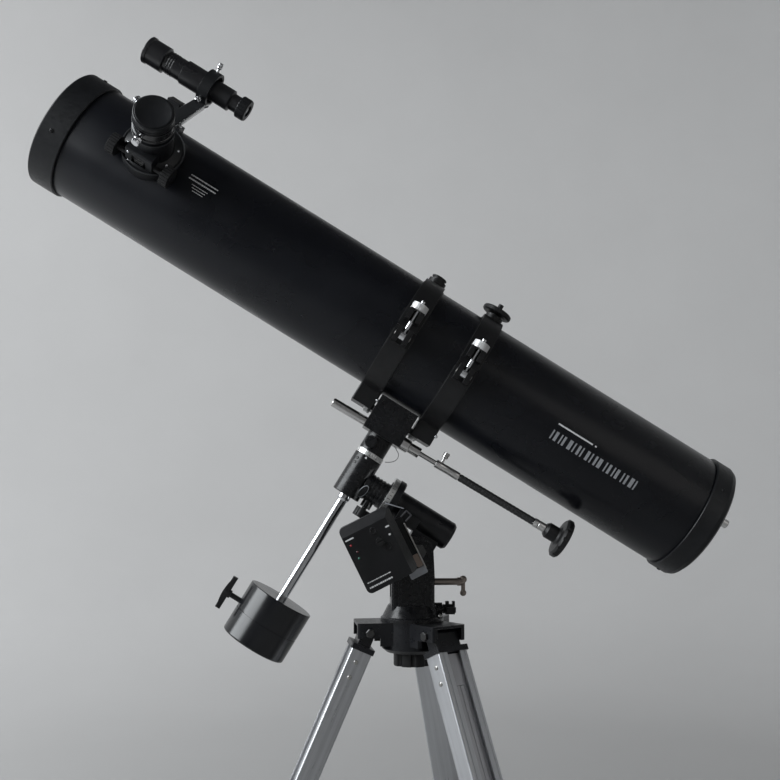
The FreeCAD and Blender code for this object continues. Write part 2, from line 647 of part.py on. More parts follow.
def ring_cradle():
    parts = []
    for u in (-RING_U, RING_U):
        half = half_ring(u, False)
        foot = box(u - 13.5, u + 13.5, -21, 21, 77.02, 108).cut(cyl(RING_R - 1, 60, (u - 30, 0, TUBE_V), X))
        foot = soften(foot, 2.0, along(Z))
        lug = box(u - 9, u + 9, -93, -72, 151, 169).cut(cyl(RING_R - 2, 60, (u - 30, 0, TUBE_V), X))
        lug = lug.cut(box(u - 3.5, u + 3.5, -100, -79, 140, 180))
        pin = cyl(2.2, 16, (u - 8, BOLT_Y, 160), X)
        knuckles = []
        for k in (-12.5, 6.0):
            knuckle = cyl(5.0, 6.5, (u + k, HINGE_Y, TUBE_V), X)
            strap = box(u + k, u + k + 6.5, 72, HINGE_Y, TUBE_V - 9, TUBE_V - 0.3)
            knuckles.append(fuse(knuckle, strap).cut(cyl(RING_BORE + 1, 60, (u - 30, 0, TUBE_V), X)))
        axle = cyl(2.0, 24, (u - 12, HINGE_Y, TUBE_V), X)
        solid = fuse(half, foot, lug, pin, knuckles[0], knuckles[1], axle)
        parts.append(solid)
    bar = box(-RING_U, RING_U, -19, 19, 77.02, 84)
    return fuse(parts[0], parts[1], bar)


def ring_upper(u, stud):
    half = half_ring(u, True)
    lug = box(u - 9, u + 9, -93, -70, TUBE_V + 8, TUBE_V + 21.6)
    lug = lug.cut(cyl(RING_R - 2, 60, (u - 30, 0, TUBE_V), X))
    half = half.fuse(lug)
    half = half.cut(box(u - 3.5, u + 3.5, -100, -79, 160, 220))
    knuckle = cyl(5.0, 11.6, (u - 5.8, HINGE_Y, TUBE_V), X)
    strap = box(u - 5.8, u + 5.8, 72, HINGE_Y, TUBE_V + 0.5, TUBE_V + 9).cut(
        cyl(RING_BORE + 1, 60, (u - 30, 0, TUBE_V), X))
    knuckle = fuse(knuckle, strap).cut(cyl(2.0 + RUN, 40, (u - 20, HINGE_Y, TUBE_V), X))
    half = half.cut(box(u - 13, u + 13, 78.5, 95, TUBE_V - 10, TUBE_V + 6))
    boss = cyl(11, 10, (u, 0, TUBE_V + 71), Z).cut(cyl(RING_R - 1, 60, (u - 30, 0, TUBE_V), X))
    shape = fuse(half, knuckle, boss)
    if stud:
        shape = shape.cut(cyl(3.175 + RUN, 30, (u, 0, TUBE_V + 71.5), Z))
    else:
        cap = fuse(cyl(8.5, 5, (u, 0, TUBE_V + 81), Z), cyl(9.5, 1.2, (u, 0, TUBE_V + 84), Z))
        shape = fuse(shape, cap)
    return shape


def ring_swing_bolts():
    bolts = []
    for u in (-RING_U, RING_U):
        eye = tube(4.8, 2.2 + RUN, 6.4, (u - 3.2, BOLT_Y, 160), X)
        shank = cyl(2.6, 41, (u, BOLT_Y, 164), Z)
        bolts.append(eye.fuse(shank).removeSplitter())
    return Part.makeCompound(bolts)


def ring_nut(u):
    base = TUBE_V + 21.65
    nut = knurl(9.5, 8, (u, BOLT_Y, base), Z, 28, 0.6)
    return nut.cut(cyl(2.6 + RUN, 20, (u, BOLT_Y, base - 5), Z))


def piggyback_knob():
    u, top = RING_U, TUBE_V + 81.1
    disc = revolve([
        (0, top), (6, top), (6, top + 1.5), (16.8, top + 2), (18, top + 3.2), (18, top + 7),
        (16.8, top + 8.2), (5, top + 8.2), (5, top + 9), (0, top + 9),
    ], Z, (u, 0, 0))
    stud = cyl(3.175, 24, (u, 0, top - 8), Z)
    return fuse(disc, stud)


# ---- optical tube -------------------------------------------------------------------------------
def focus_place(turn, u):
    """From a fitting's own coordinates (z out of the tube's side, x along the tube) to head coordinates."""
    return Placement(Vector(u, 0, TUBE_V), Rotation(X, turn))


def main_tube():
    """Rolled shell of long strips; the two under the focuser leave its port open."""
    length = TUBE_REAR - TUBE_FRONT - 12
    start = TUBE_FRONT + 6
    shell = tube(TUBE_R, TUBE_R - TUBE_WALL, length, (start, 0, 0), X)
    half = math.pi / STAVES - SEAM / TUBE_R
    far = TUBE_R + 40
    wedge = prism([(0, 0, 0), (0, -far * math.sin(half), far * math.cos(half)),
                   (0, far * math.sin(half), far * math.cos(half))], length, (start, 0, 0), X)
    port = box(FOCUS_U - PORT_HALF, FOCUS_U + PORT_HALF, -60, 60, 0, 90)
    strips = []
    for i in range(STAVES):
        turn = FOCUS_TURN + (i + 0.5) * 360.0 / STAVES
        strip = shell.common(turned(wedge, X, turn))
        if i in (0, STAVES - 1):
            strip = strip.cut(turned(port, X, FOCUS_TURN))
        strips += strip.Solids
    shape = Part.makeCompound(strips)
    shape.translate(Vector(0, 0, TUBE_V))
    return shape


def tube_front_ring():
    f = TUBE_FRONT
    grip = TUBE_R + TOUCH
    return revolve([
        (66.5, f), (71.5, f), (73, f + 1.5), (73, f + 32), (72.2, f + 33), (grip, f + 33),
        (grip, f + 5.95), (66.5, f + 5.95),
    ], X, (0, 0, TUBE_V))


def mirror_cell():
    """Cap over the rear end, bored for the three collimation screws."""
    e = TUBE_REAR
    grip = TUBE_R + TOUCH
    cell = revolve([
        (0, e - 5), (grip, e - 5), (grip, e - 28), (72.4, e - 28), (73, e - 27.4),
        (73, e - 8), (71, e - 3), (66, e), (0, e),
    ], X, (0, 0, TUBE_V))
    back = revolve([(0, e - 12), (62, e - 12), (62, e - 4), (0, e - 4)], X, (0, 0, TUBE_V))
    cell = fuse(cell, back)
    for i in range(3):
        a = 2 * math.pi * i / 3 + 0.9
        spot = (e - 40, 48 * math.cos(a), TUBE_V + 48 * math.sin(a))
        cell = cell.cut(cyl(3.0 + RUN, 60, spot, X))
    for i in range(3):
        a = 2 * math.pi * i / 3 + 0.9 + math.pi / 3
        spot = (e - 3.0, 48 * math.cos(a), TUBE_V + 48 * math.sin(a))
        cell = cell.cut(cyl(4.0, 10, spot, X))
    return cell


def primary_mirror():
    e = TUBE_REAR - 24
    glass = cyl(57, 18, (e - 18, 0, TUBE_V), X)
    bowl = Part.makeSphere(1800.0, Vector(e - 18 - 1799.1, 0, TUBE_V))
    plate = tube(60, 57.02, 14, (e - 12, 0, TUBE_V), X).fuse(cyl(60, 3, (e + 0.02, 0, TUBE_V), X))
    return Part.makeCompound([glass.cut(bowl), plate])


def collimation_knobs():
    e = TUBE_REAR
    knobs = []
    for i in range(3):
        a = 2 * math.pi * i / 3 + 0.9
        y, z = 48 * math.cos(a), TUBE_V + 48 * math.sin(a)
        head = fuse(cyl(5.0, 10, (e + 0.6, y, z), X), cone(5.0, 4.2, 0.8, (e + 10.6, y, z), X))
        knobs.append(fuse(head, cyl(3.0, 22, (e - 20.9, y, z), X)))
    return Part.makeCompound(knobs)


def spider():
    """Three thin vanes, the holder and the diagonal mirror."""
    u = FOCUS_U
    holder = cyl(15, 26, (u - 22, 0, 0), X)
    slant = box(-60, 60, -40, 40, 0, 60)
    slant.Placement = Placement(Vector(u - 4, 0, 0), Rotation(Y, 45.0))
    mirror = box(-17, 17, -12.5, 12.5, TOUCH, 5)
    mirror.Placement = slant.Placement
    pieces = [turned(holder.cut(slant), X, FOCUS_TURN), turned(mirror, X, FOCUS_TURN)]
    for i in range(3):
        vane = box(u - 19, u - 3, -0.5, 0.5, 15 + TOUCH, TUBE_R - TUBE_WALL - TOUCH)
        pieces.append(turned(vane, X, 120 * i + FOCUS_TURN + 180, (u, 0, 0)))
    shape = Part.makeCompound(pieces)
    shape.translate(Vector(0, 0, TUBE_V))
    return shape


def focuser_body():
    """Round saddle, the barrel that guides the drawtube and the pinion housing with its window."""
    saddle = cyl(SADDLE_R, 21, (0, 0, 55)).cut(cyl(TUBE_R + TOUCH, 200, (-100, 0, 0), X))
    base = cone(SADDLE_R - 3, 24, 5, (0, 0, 76))
    barrel = cyl(22.4, BODY_TOP - 75, (0, 0, 75))
    rim = cyl(23.2, 5, (0, 0, BODY_TOP - 5))
    housing = soften(box(-17, 17, -29, -8, 76, 97), 2.5, along(X))
    shape = fuse(saddle, base, barrel, rim, housing)
    shape = shape.cut([
        cyl(19.0 + RUN, 90, (0, 0, 40)),
        cyl(3.0 + RUN, 100, (-50, PINION_Y, PINION_Z), X),
        box(-9, 9, -29.2, -16, PINION_Z - 5.5, PINION_Z + 9),
        cyl(12.8, 12, (KNOB_X - 0.5, PINION_Y, PINION_Z), X),
        cyl(12.8, 12, (-KNOB_X - 11.5, PINION_Y, PINION_Z), X),
    ])
    return moved(shape, focus_place(FOCUS_TURN, FOCUS_U))


def focuser_drawtube():
    """Drawtube with its rack and the eyepiece holder with two thumbscrews."""
    low, top = HOLDER_LOW, HOLDER_TOP
    barrel = tube(19.0, 16.6, low - 54, (0, 0, 56))
    holder = revolve([
        (15.95, low), (23, low), (23, low + 2.5), (22, low + 3.2), (22, top - 3),
        (23, top - 2.2), (23, top), (15.95, top),
    ], Z)
    seat = tube(19.0, 15.95, 3, (0, 0, low - 2))
    shape = fuse(barrel, holder, seat)
    shape = shape.cut(box(-9, 9, -20, -18.3, 50, low - 0.1))
    rack = box(-3, 3, -18.55, -17.2, 58, low - 0.1)
    shape = shape.fuse(rack).removeSplitter()
    pieces = []
    for turn in THUMBSCREW_TURNS:
        middle = low + 7.5
        shape = shape.cut(turned(cyl(2.1, 10, (14, 0, middle), X), Z, turn))
        grip = knurl(4.6, 7, (25.5, 0, middle), X, 16, 0.45)
        pieces.append(turned(fuse(cyl(2.0, 14, (16.2, 0, middle), X), grip), Z, turn))
    return moved(Part.makeCompound([shape] + pieces), focus_place(FOCUS_TURN, FOCUS_U))


def focuser_pinion():
    """Pinion shaft with its wheel and the two focus knobs."""
    y, z, inner = PINION_Y, PINION_Z, KNOB_X
    parts = [
        cyl(3.0, 2 * inner, (-inner, y, z), X),
        cyl(4.9, 12, (-6, y, z), X),
        knurl(12, 10, (-inner - 10, y, z), X, 20, 0.9),
        knurl(12, 10, (inner, y, z), X, 20, 0.9),
    ]
    return moved(fuse(*parts), focus_place(FOCUS_TURN, FOCUS_U))


def eyepiece():
    top = HOLDER_TOP
    body = revolve([
        (0, top - 31), (13, top - 31), (13, top - 32.5), (15.9, top - 32.5), (15.9, top + 0.1),
        (21.8, top + 0.1), (22.5, top + 0.8), (22.5, top + 10), (21.5, top + 11.4), (0, top + 11.4),
    ], Z)
    groove = tube(26, 21.7, 1.4, (0, 0, top + 3.5), Z)
    return moved(body.cut(groove), focus_place(FOCUS_TURN, FOCUS_U))


def finder_place():
    return focus_place(FINDER_TURN, 0)


def finder_tube():
    r = FINDER_R
    outer = revolve([
        (13.0, -461), (15.2, -461), (16, -460), (16, -456.5), (15.3, -456), (15.3, -436), (12.8, -434.5),
        (12.8, -412), (14.4, -411), (14.4, -381), (12.6, -380), (12.6, -349), (9.8, -347.5), (9.8, -338),
        (8.3, -338), (8.3, -352), (10.6, -353), (10.6, -436), (13.0, -440),
    ], X, (0, 0, r))
    lens = cyl(13.0, 3, (-452, 0, r), X)
    return moved(Part.makeCompound([outer, lens]), finder_place())


def finder_eyepiece():
    r = FINDER_R
    body = revolve([
        (0, -350), (8.25, -350), (8.25, -337.5), (12.4, -337.5), (13, -336.5), (13, -328), (12, -326),
        (7, -326), (7, -328), (0, -328),
    ], X, (0, 0, r))
    ribs = [cyl(0.8, 12, (-338, 13.1 * math.cos(a), r + 13.1 * math.sin(a)), X)
            for a in [2 * math.pi * i / 20 for i in range(20)]]
    return moved(body.cut(ribs), finder_place())


def finder_bracket():
    """Saddle on the tube, leaning arm, screw ring and its three adjusting screws."""
    r = FINDER_R
    saddle = box(-414, -386, -9, 9, 55, 76).cut(cyl(TUBE_R + TOUCH, 60, (-430, 0, 0), X))
    shoe = box(-414, -398, -8, 8, 74, 101)
    arm = prism([(-412, -8, 74), (-394, -8, 74), (-371, -8, 118), (-384, -8, 118)], 16, (0, 0, 0), Y)
    ring = tube(20, 16.6, 13, (-384, 0, r), X)
    block = box(-384, -371, -5, 5, 112, 117.5)
    shape = fuse(saddle, shoe, arm, ring, block)
    screws = []
    for turn in (0.0, 120.0, 240.0):
        hole = turned(cyl(1.5 + RUN, 14, (-377.5, 0, r + 12), Z), X, turn, (0, 0, r))
        shape = shape.cut(hole)
        screw = fuse(cyl(1.5, 16, (-377.5, 0, r + 12.65), Z), cyl(2.8, 6, (-377.5, 0, r + 24), Z))
        screws.append(turned(screw, X, turn, (0, 0, r)))
    pieces = Part.makeCompound([shape.cut(screws)] + screws)
    return moved(pieces, finder_place())


# ---- build --------------------------------------------------------------------------------------
def build():
    save("tripod_hub", tripod_hub())
    save("hub_center_knob", hub_center_knob())
    for i, azimuth in enumerate(LEG_AZIMUTHS):
        leg = "leg_%d_" % (i + 1)
        place = leg_place(azimuth)
        floor = box(-900, 900, -900, 900, -60, 0)
        save(leg + "rail", moved(leg_rail(), place))
        save(leg + "fittings", moved(leg_fittings(), place))
        save(leg + "lower", moved(leg_lower(), place))
        save(leg + "foot", moved(leg_foot(), place).cut(floor))
        save(leg + "lock_knob", moved(leg_lock_knob(), place))
        save(leg + "brace", brace_arm(azimuth))
    save("spreader_tray", spreader_tray())
    save("azimuth_base", azimuth_base())
    save("azimuth_lock_knob", azimuth_lock_knob())
    save("latitude_bolt", latitude_bolt())
    save("latitude_pivot_bolt", latitude_pivot_bolt())
    save("ra_housing", ra_housing(), True)
    save("ra_setting_circle", ra_setting_circle(), True)
    save("ra_lock_knob", ra_lock_knob(), True)
    save("drive_box", drive_box(), True)
    save("drive_dial", drive_dial(), True)
    save("dec_housing", dec_housing(), True)
    save("dec_setting_circle", dec_setting_circle(), True)
    save("dec_lock_knob", dec_lock_knob(), True)
    save("dec_head", dec_head(), True)
    save("worm_shaft", worm_shaft(), True)
    save("slow_motion_cable", slow_motion_cable(), True)
    save("slow_motion_knob", slow_motion_knob(), True)
    save("counterweight_rod", counterweight_rod(), True)
    save("counterweight", counterweight(), True)
    save("counterweight_knob", counterweight_knob(), True)
    save("ring_cradle", ring_cradle(), True)
    save("ring_front_upper", ring_upper(-RING_U, False), True)
    save("ring_rear_upper", ring_upper(RING_U, True), True)
    save("ring_swing_bolts", ring_swing_bolts(), True)
    save("ring_front_nut", ring_nut(-RING_U), True)
    save("ring_rear_nut", ring_nut(RING_U), True)
    save("piggyback_knob", piggyback_knob(), True)
    save("main_tube", main_tube(), True)
    save("tube_front_ring", tube_front_ring(), True)
    save("mirror_cell", mirror_cell(), True)
    save("primary_mirror", primary_mirror(), True)
    save("collimation_knobs", collimation_knobs(), True)
    save("spider", spider(), True)
    save("focuser_body", focuser_body(), True)
    save("focuser_drawtube", focuser_drawtube(), True)
    save("focuser_pinion", focuser_pinion(), True)
    save("eyepiece", eyepiece(), True)
    save("finder_tube", finder_tube(), True)
    save("finder_eyepiece", finder_eyepiece(), True)
    save("finder_bracket", finder_bracket(), True)


build()
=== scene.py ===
"""Looks of a newtonian reflector telescope on a German equatorial mount.

Lengths are in metres unless a name or a helper says millimetres.  Three local frames are used:
 head     x along the polar axis, y as the row frame, z towards the tube
 fitting  head coordinates turned about the tube's axis: x along the tube, z out of its side
 leg      pivot at the origin, x outward, z up the leg
"""
import bpy
import bmesh
import json
import math
from mathutils import Matrix, Vector


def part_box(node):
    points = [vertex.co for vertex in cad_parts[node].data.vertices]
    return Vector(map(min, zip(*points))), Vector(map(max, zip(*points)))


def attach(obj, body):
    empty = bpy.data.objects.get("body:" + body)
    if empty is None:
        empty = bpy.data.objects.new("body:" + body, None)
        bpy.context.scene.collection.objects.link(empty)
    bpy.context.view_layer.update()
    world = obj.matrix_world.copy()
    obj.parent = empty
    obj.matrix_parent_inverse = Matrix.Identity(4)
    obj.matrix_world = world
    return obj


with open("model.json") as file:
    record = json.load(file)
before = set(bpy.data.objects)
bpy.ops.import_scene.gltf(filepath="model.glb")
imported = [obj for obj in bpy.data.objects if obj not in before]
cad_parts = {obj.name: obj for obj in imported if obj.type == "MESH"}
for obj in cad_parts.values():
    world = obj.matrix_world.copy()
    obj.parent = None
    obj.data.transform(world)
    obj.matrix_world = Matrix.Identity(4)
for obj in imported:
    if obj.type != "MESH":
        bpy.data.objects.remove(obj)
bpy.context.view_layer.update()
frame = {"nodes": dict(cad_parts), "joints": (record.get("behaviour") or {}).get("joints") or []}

NODES = frame["nodes"]
JOINTS = {joint["name"]: joint for joint in frame["joints"]}
MM = 0.001
UP = Vector((0, 0, 1))


# ---- frames taken from the joints ---------------------------------------------------------------
def basis(origin, x_axis, z_axis):
    """A placement with its x and z axes along the given directions."""
    x_axis, z_axis = Vector(x_axis).normalized(), Vector(z_axis).normalized()
    turn = Matrix((x_axis, z_axis.cross(x_axis), z_axis)).transposed()
    return Matrix.Translation(Vector(origin)) @ turn.to_4x4()


def mm(x, y, z):
    return Matrix.Translation(Vector((x, y, z)) * MM)


def turn(degrees, axis):
    return Matrix.Rotation(math.radians(degrees), 4, axis)


HEAD = basis(JOINTS["ra_turn"]["pos_m"], JOINTS["ra_turn"]["axis"], JOINTS["dec_turn"]["axis"])
TUBE_V = (HEAD.inverted() @ Vector(JOINTS["tube_roll"]["pos_m"])).z / MM
TUBE = HEAD @ mm(0, 0, TUBE_V)
TUBE_R = 70.0
SKIN_R = 70.02             # coat of paint on the tube, between its end rings
SKIN_THICK = 0.025
SKIN_FROM = -478.8
SKIN_TO = 349.8
FOCUS = TUBE @ mm(-390, 0, 0) @ turn(72, "X")
PINION = FOCUS @ mm(0, -23.6, 80)
HOLDER_TOP = 133.6         # eyepiece holder, from the tube's axis
FINDER_R = 134.0
FINDER = TUBE @ turn(27, "X")
DRIVE = HEAD @ mm(62, 0, -54) @ turn(32, "Y")
DRIVE_FRONT = -75.0
DRIVE_BACK = -36.0
WORM = basis(JOINTS["dec_worm_turn"]["pos_m"], JOINTS["dec_worm_turn"]["axis"], HEAD.to_3x3() @ UP)
RING_U = (-40.0, 40.0)
BRACE_AT = -235.0          # brace bracket along the leg


def leg_frame(k):
    down = Vector(JOINTS[f"leg_{k}_extend"]["axis"])
    out = Vector(JOINTS[f"leg_{k}_lock_turn"]["axis"])
    return basis(JOINTS[f"leg_{k}_fold"]["pos_m"], out, -down)


LEGS = {k: leg_frame(k) for k in (1, 2, 3)}


# ---- camera and studio --------------------------------------------------------------------------
CAMERA_AT = (-0.0931, -1.2484, 0.8591)
CAMERA_TURN = (95.0, 0.0, -3.094)
CAMERA_LENS = 48.92
SENSOR = 36.0


def make_camera():
    data = bpy.data.cameras.new("camera")
    data.sensor_width = SENSOR
    data.lens = CAMERA_LENS
    camera = bpy.data.objects.new("camera", data)
    camera.location = CAMERA_AT
    camera.rotation_euler = [math.radians(a) for a in CAMERA_TURN]
    bpy.context.scene.collection.objects.link(camera)
    bpy.context.scene.camera = camera


# where, towards what, width and height, watts, colour
LIGHTS = {
    "window": ((-3.0, -0.7, 2.6), (0.5, 2.4, 0.9), (3.0, 2.6), 190, (0.93, 0.97, 1.0)),
    "room": ((2.2, -2.4, 1.6), (0.1, 0.0, 0.7), (2.0, 1.6), 4, (1.0, 0.96, 0.92)),
    "wall_wash": ((-2.4, 1.2, 3.2), (-1.4, 4.0, 1.6), (1.5, 1.5), 30, (0.97, 0.98, 1.0))}
WORLD_COLOUR = (0.80, 0.81, 0.84, 1)
WORLD_STRENGTH = 0.09


def area_light(name, place, aim, size, power, colour):
    data = bpy.data.lights.new(name, "AREA")
    data.shape = "RECTANGLE"
    data.size, data.size_y = size
    data.energy = power
    data.color = colour
    light = bpy.data.objects.new(name, data)
    light.location = place
    light.rotation_euler = (Vector(aim) - Vector(place)).to_track_quat("-Z", "Y").to_euler()
    bpy.context.scene.collection.objects.link(light)


def make_lights():
    for name, values in LIGHTS.items():
        area_light(name, *values)
    world = bpy.data.worlds.new("studio")
    world.use_nodes = True
    background = world.node_tree.nodes["Background"]
    background.inputs["Color"].default_value = WORLD_COLOUR
    background.inputs["Strength"].default_value = WORLD_STRENGTH
    bpy.context.scene.world = world
    bpy.context.scene.view_settings.view_transform = "Standard"


# ---- material toolkit ---------------------------------------------------------------------------
class Look:
    """A Principled material with short calls for the nodes that vary it."""

    def __init__(self, name, colour, roughness, metallic=0.0, **settings):
        self.name = name
        self.material = bpy.data.materials.new("look_" + name)
        self.material.use_nodes = True
        self.tree = self.material.node_tree
        self.shader = self.tree.nodes["Principled BSDF"]
        self.set("Base Color", (*colour, 1.0))
        self.set("Roughness", roughness)
        self.set("Metallic", metallic)
        for key, value in settings.items():
            self.set(key.replace("_", " "), value)
        self.place = self.add("ShaderNodeTexCoord").outputs["Object"]
        self.normal = None

    def set(self, socket, value):
        self.shader.inputs[socket].default_value = value

    def add(self, kind, **inputs):
        node = self.tree.nodes.new(kind)
        for key, value in inputs.items():
            self.feed(node.inputs[key.replace("_", " ")], value)
        return node

    def feed(self, socket, value):
        if isinstance(value, bpy.types.NodeSocket):
            self.tree.links.new(value, socket)
        else:
            socket.default_value = value

    def mapped(self, place, stretch=(1, 1, 1)):
        """Object coordinates seen from a local frame, stretched along its axes."""
        if place is None:
            return self.add("ShaderNodeMapping", Vector=self.place, Scale=stretch).outputs["Vector"]
        inverse = place.inverted()
        local = self.add("ShaderNodeMapping", Vector=self.place, Rotation=inverse.to_euler(),
                         Location=inverse.translation).outputs["Vector"]
        return self.add("ShaderNodeMapping", Vector=local, Scale=stretch).outputs["Vector"]

    def noise(self, scale, detail=3.0, place=None, stretch=(1, 1, 1), roughness=0.55):
        vector = self.mapped(place, stretch)
        node = self.add("ShaderNodeTexNoise", Vector=vector, Scale=scale, Detail=detail, Roughness=roughness)
        return node.outputs["Fac"]

    def cells(self, scale, place=None, stretch=(1, 1, 1)):
        node = self.add("ShaderNodeTexVoronoi", Vector=self.mapped(place, stretch), Scale=scale)
        return node.outputs["Distance"]

    def span(self, value, low, high, start=0.3, end=0.7):
        """Maps a value between start and end to low and high."""
        node = self.add("ShaderNodeMapRange", Value=value)
        for key, number in (("From Min", start), ("From Max", end), ("To Min", low), ("To Max", high)):
            node.inputs[key].default_value = number
        return node.outputs["Result"]

    def maths(self, operation, a, b=0.0):
        node = self.tree.nodes.new("ShaderNodeMath")
        node.operation = operation
        self.feed(node.inputs[0], a)
        self.feed(node.inputs[1], b)
        return node.outputs["Value"]

    def mix(self, factor, first, second):
        node = self.tree.nodes.new("ShaderNodeMix")
        node.data_type = "RGBA"
        self.feed(node.inputs["Factor"], factor)
        for socket, value in ((node.inputs[6], first), (node.inputs[7], second)):
            self.feed(socket, value if isinstance(value, bpy.types.NodeSocket) else (*value, 1.0))
        return node.outputs[2]

    def colour(self, value):
        self.feed(self.shader.inputs["Base Color"], value)

    def rough(self, value):
        self.feed(self.shader.inputs["Roughness"], value)

    def bump(self, height, depth_mm, strength=1.0):
        """Raises the surface by a height of 0 to 1, in millimetres."""
        node = self.add("ShaderNodeBump", Height=height, Strength=strength, Distance=depth_mm * MM)
        if self.normal is not None:
            self.tree.links.new(self.normal, node.inputs["Normal"])
        self.normal = node.outputs["Normal"]
        self.tree.links.new(self.normal, self.shader.inputs["Normal"])

    def edges(self, radius_mm, start=0.999, end=0.93):
        """Softens the look of sharp edges and returns a mask that is 1 on them."""
        node = self.tree.nodes.new("ShaderNodeBevel")
        node.samples = 4
        node.inputs["Radius"].default_value = radius_mm * MM
        self.normal = node.outputs["Normal"]
        self.tree.links.new(self.normal, self.shader.inputs["Normal"])
        product = self.tree.nodes.new("ShaderNodeVectorMath")
        product.operation = "DOT_PRODUCT"
        self.tree.links.new(self.normal, product.inputs[0])
        self.tree.links.new(self.add("ShaderNodeNewGeometry").outputs["Normal"], product.inputs[1])
        return self.span(product.outputs["Value"], 0.0, 1.0, start, end)


# ---- materials ----------------------------------------------------------------------------------
def enamel(name, colour, gloss=0.16, peel=0.012, coat=0.6):
    """Sprayed gloss paint: orange peel, a little haze and dust."""
    look = Look(name, colour, gloss, Coat_Weight=coat, Coat_Roughness=0.08)
    haze = look.noise(9.0, 4.0)
    dust = look.noise(900.0, 2.0)
    specks = look.span(dust, 0.0, 1.0, 0.70, 0.78)
    lighter = tuple(c * 1.7 + 0.002 for c in colour)
    look.colour(look.mix(specks, look.mix(look.span(haze, 0.0, 1.0), colour, lighter), (0.05, 0.05, 0.05)))
    look.rough(look.span(look.maths("ADD", haze, look.maths("MULTIPLY", specks, 0.3)), gloss, gloss + 0.14))
    look.bump(look.noise(420.0, 2.0), peel)
    return look


def cast_paint(name, colour, gloss=0.30, grain=0.05):
    """Thick paint on a sand casting, thinner and brighter on the edges."""
    look = Look(name, colour, gloss, Specular_IOR_Level=0.34)
    worn = look.edges(0.4)
    patch = look.noise(60.0, 5.0)
    edge = look.maths("MULTIPLY", worn, look.span(patch, 0.15, 0.9))
    base = look.mix(look.span(patch, 0.0, 1.0), colour, tuple(c * 1.6 + 0.002 for c in colour))
    look.colour(look.mix(edge, base, (0.06, 0.06, 0.063)))
    look.rough(look.span(look.noise(140.0, 3.0), gloss - 0.06, gloss + 0.12))
    look.bump(look.noise(520.0, 3.0), grain)
    look.bump(look.noise(90.0, 2.0), grain * 1.6, 0.6)
    return look


def moulded(name, colour, gloss=0.42, grain=0.03, scale=1500.0):
    """Injection-moulded plastic with a fine spark-eroded grain."""
    look = Look(name, colour, gloss, Specular_IOR_Level=0.34)
    worn = look.edges(0.5)
    cloud = look.noise(35.0, 4.0)
    base = look.mix(look.span(cloud, 0.0, 1.0), colour, tuple(c * 1.5 + 0.003 for c in colour))
    look.colour(look.mix(look.maths("MULTIPLY", worn, 0.35), base, tuple(c * 2.5 + 0.02 for c in colour)))
    look.rough(look.span(look.noise(260.0, 3.0), gloss - 0.05, gloss + 0.10))
    look.bump(look.cells(scale), grain)
    return look


def brushed(name, colour, place, stretch, gloss=0.30, depth=0.012):
    """Extruded or machined metal with fine lines along one direction of a local frame."""
    look = Look(name, colour, gloss, 1.0)
    worn = look.edges(0.35)
    lines = look.noise(260.0, 4.0, place, stretch, 0.7)
    broad = look.noise(14.0, 3.0)
    smudge = look.noise(40.0, 5.0)
    darker = tuple(c * 0.80 for c in colour)
    base = look.mix(look.span(lines, 0.0, 1.0), darker, colour)
    base = look.mix(look.maths("MULTIPLY", look.span(broad, 0.0, 1.0), 0.25), base, darker)
    look.colour(look.mix(look.maths("MULTIPLY", worn, 0.5), base, tuple(min(1.0, c * 1.15) for c in colour)))
    look.rough(look.maths("ADD", look.span(lines, gloss - 0.06, gloss + 0.08), look.span(smudge, 0.0, 0.08)))
    look.bump(lines, depth)
    return look


def polished(name, colour=(0.80, 0.81, 0.83), gloss=0.06, place=None, stretch=(1, 1, 1)):
    """Chrome plate with faint wiping marks."""
    look = Look(name, colour, gloss, 1.0)
    worn = look.edges(0.25)
    marks = look.noise(300.0, 4.0, place, stretch, 0.7)
    fog = look.noise(30.0, 4.0)
    look.colour(look.mix(look.span(fog, 0.0, 1.0), colour, tuple(c * 0.86 for c in colour)))
    look.rough(look.maths("ADD", look.span(marks, gloss - 0.03, gloss + 0.08),
                          look.maths("MULTIPLY", worn, 0.04)))
    look.bump(marks, 0.003)
    return look


def rubbery(name, colour=(0.018, 0.018, 0.019), gloss=0.62):
    look = Look(name, colour, gloss, Specular_IOR_Level=0.35)
    dusty = look.noise(55.0, 5.0)
    look.colour(look.mix(look.span(dusty, 0.0, 1.0), colour, tuple(c * 1.8 + 0.012 for c in colour)))
    look.rough(look.span(look.noise(300.0, 3.0), gloss - 0.06, gloss + 0.14))
    look.bump(look.cells(2200.0), 0.04)
    return look


def engraved_silver(name):
    """Satin anodised setting circle."""
    look = Look(name, (0.72, 0.72, 0.71), 0.34, 1.0)
    worn = look.edges(0.25)
    turned = look.noise(900.0, 3.0)
    stain = look.noise(70.0, 4.0)
    look.colour(look.mix(look.span(stain, 0.0, 1.0), (0.74, 0.74, 0.73), (0.60, 0.60, 0.59)))
    look.rough(look.maths("ADD", look.span(turned, 0.28, 0.42), look.maths("MULTIPLY", worn, -0.08)))
    look.bump(turned, 0.006)
    return look


def tube_enamel():
    """Gloss black outside, flat black inside the tube."""
    look = enamel("tube_enamel", (0.0032, 0.0037, 0.0055), 0.22, 0.008, 0.0)
    look.set("Specular IOR Level", 0.28)
    radius = look.add("ShaderNodeSeparateXYZ", Vector=look.mapped(TUBE)).outputs
    across = look.maths("SQRT", look.maths("ADD", look.maths("POWER", radius["Y"], 2.0),
                                           look.maths("POWER", radius["Z"], 2.0)))
    inside = look.span(across, 1.0, 0.0, 0.0692, 0.0697)
    was = look.shader.inputs["Roughness"].links[0].from_socket
    look.rough(look.maths("ADD", was, look.maths("MULTIPLY", inside, 0.6)))
    return look


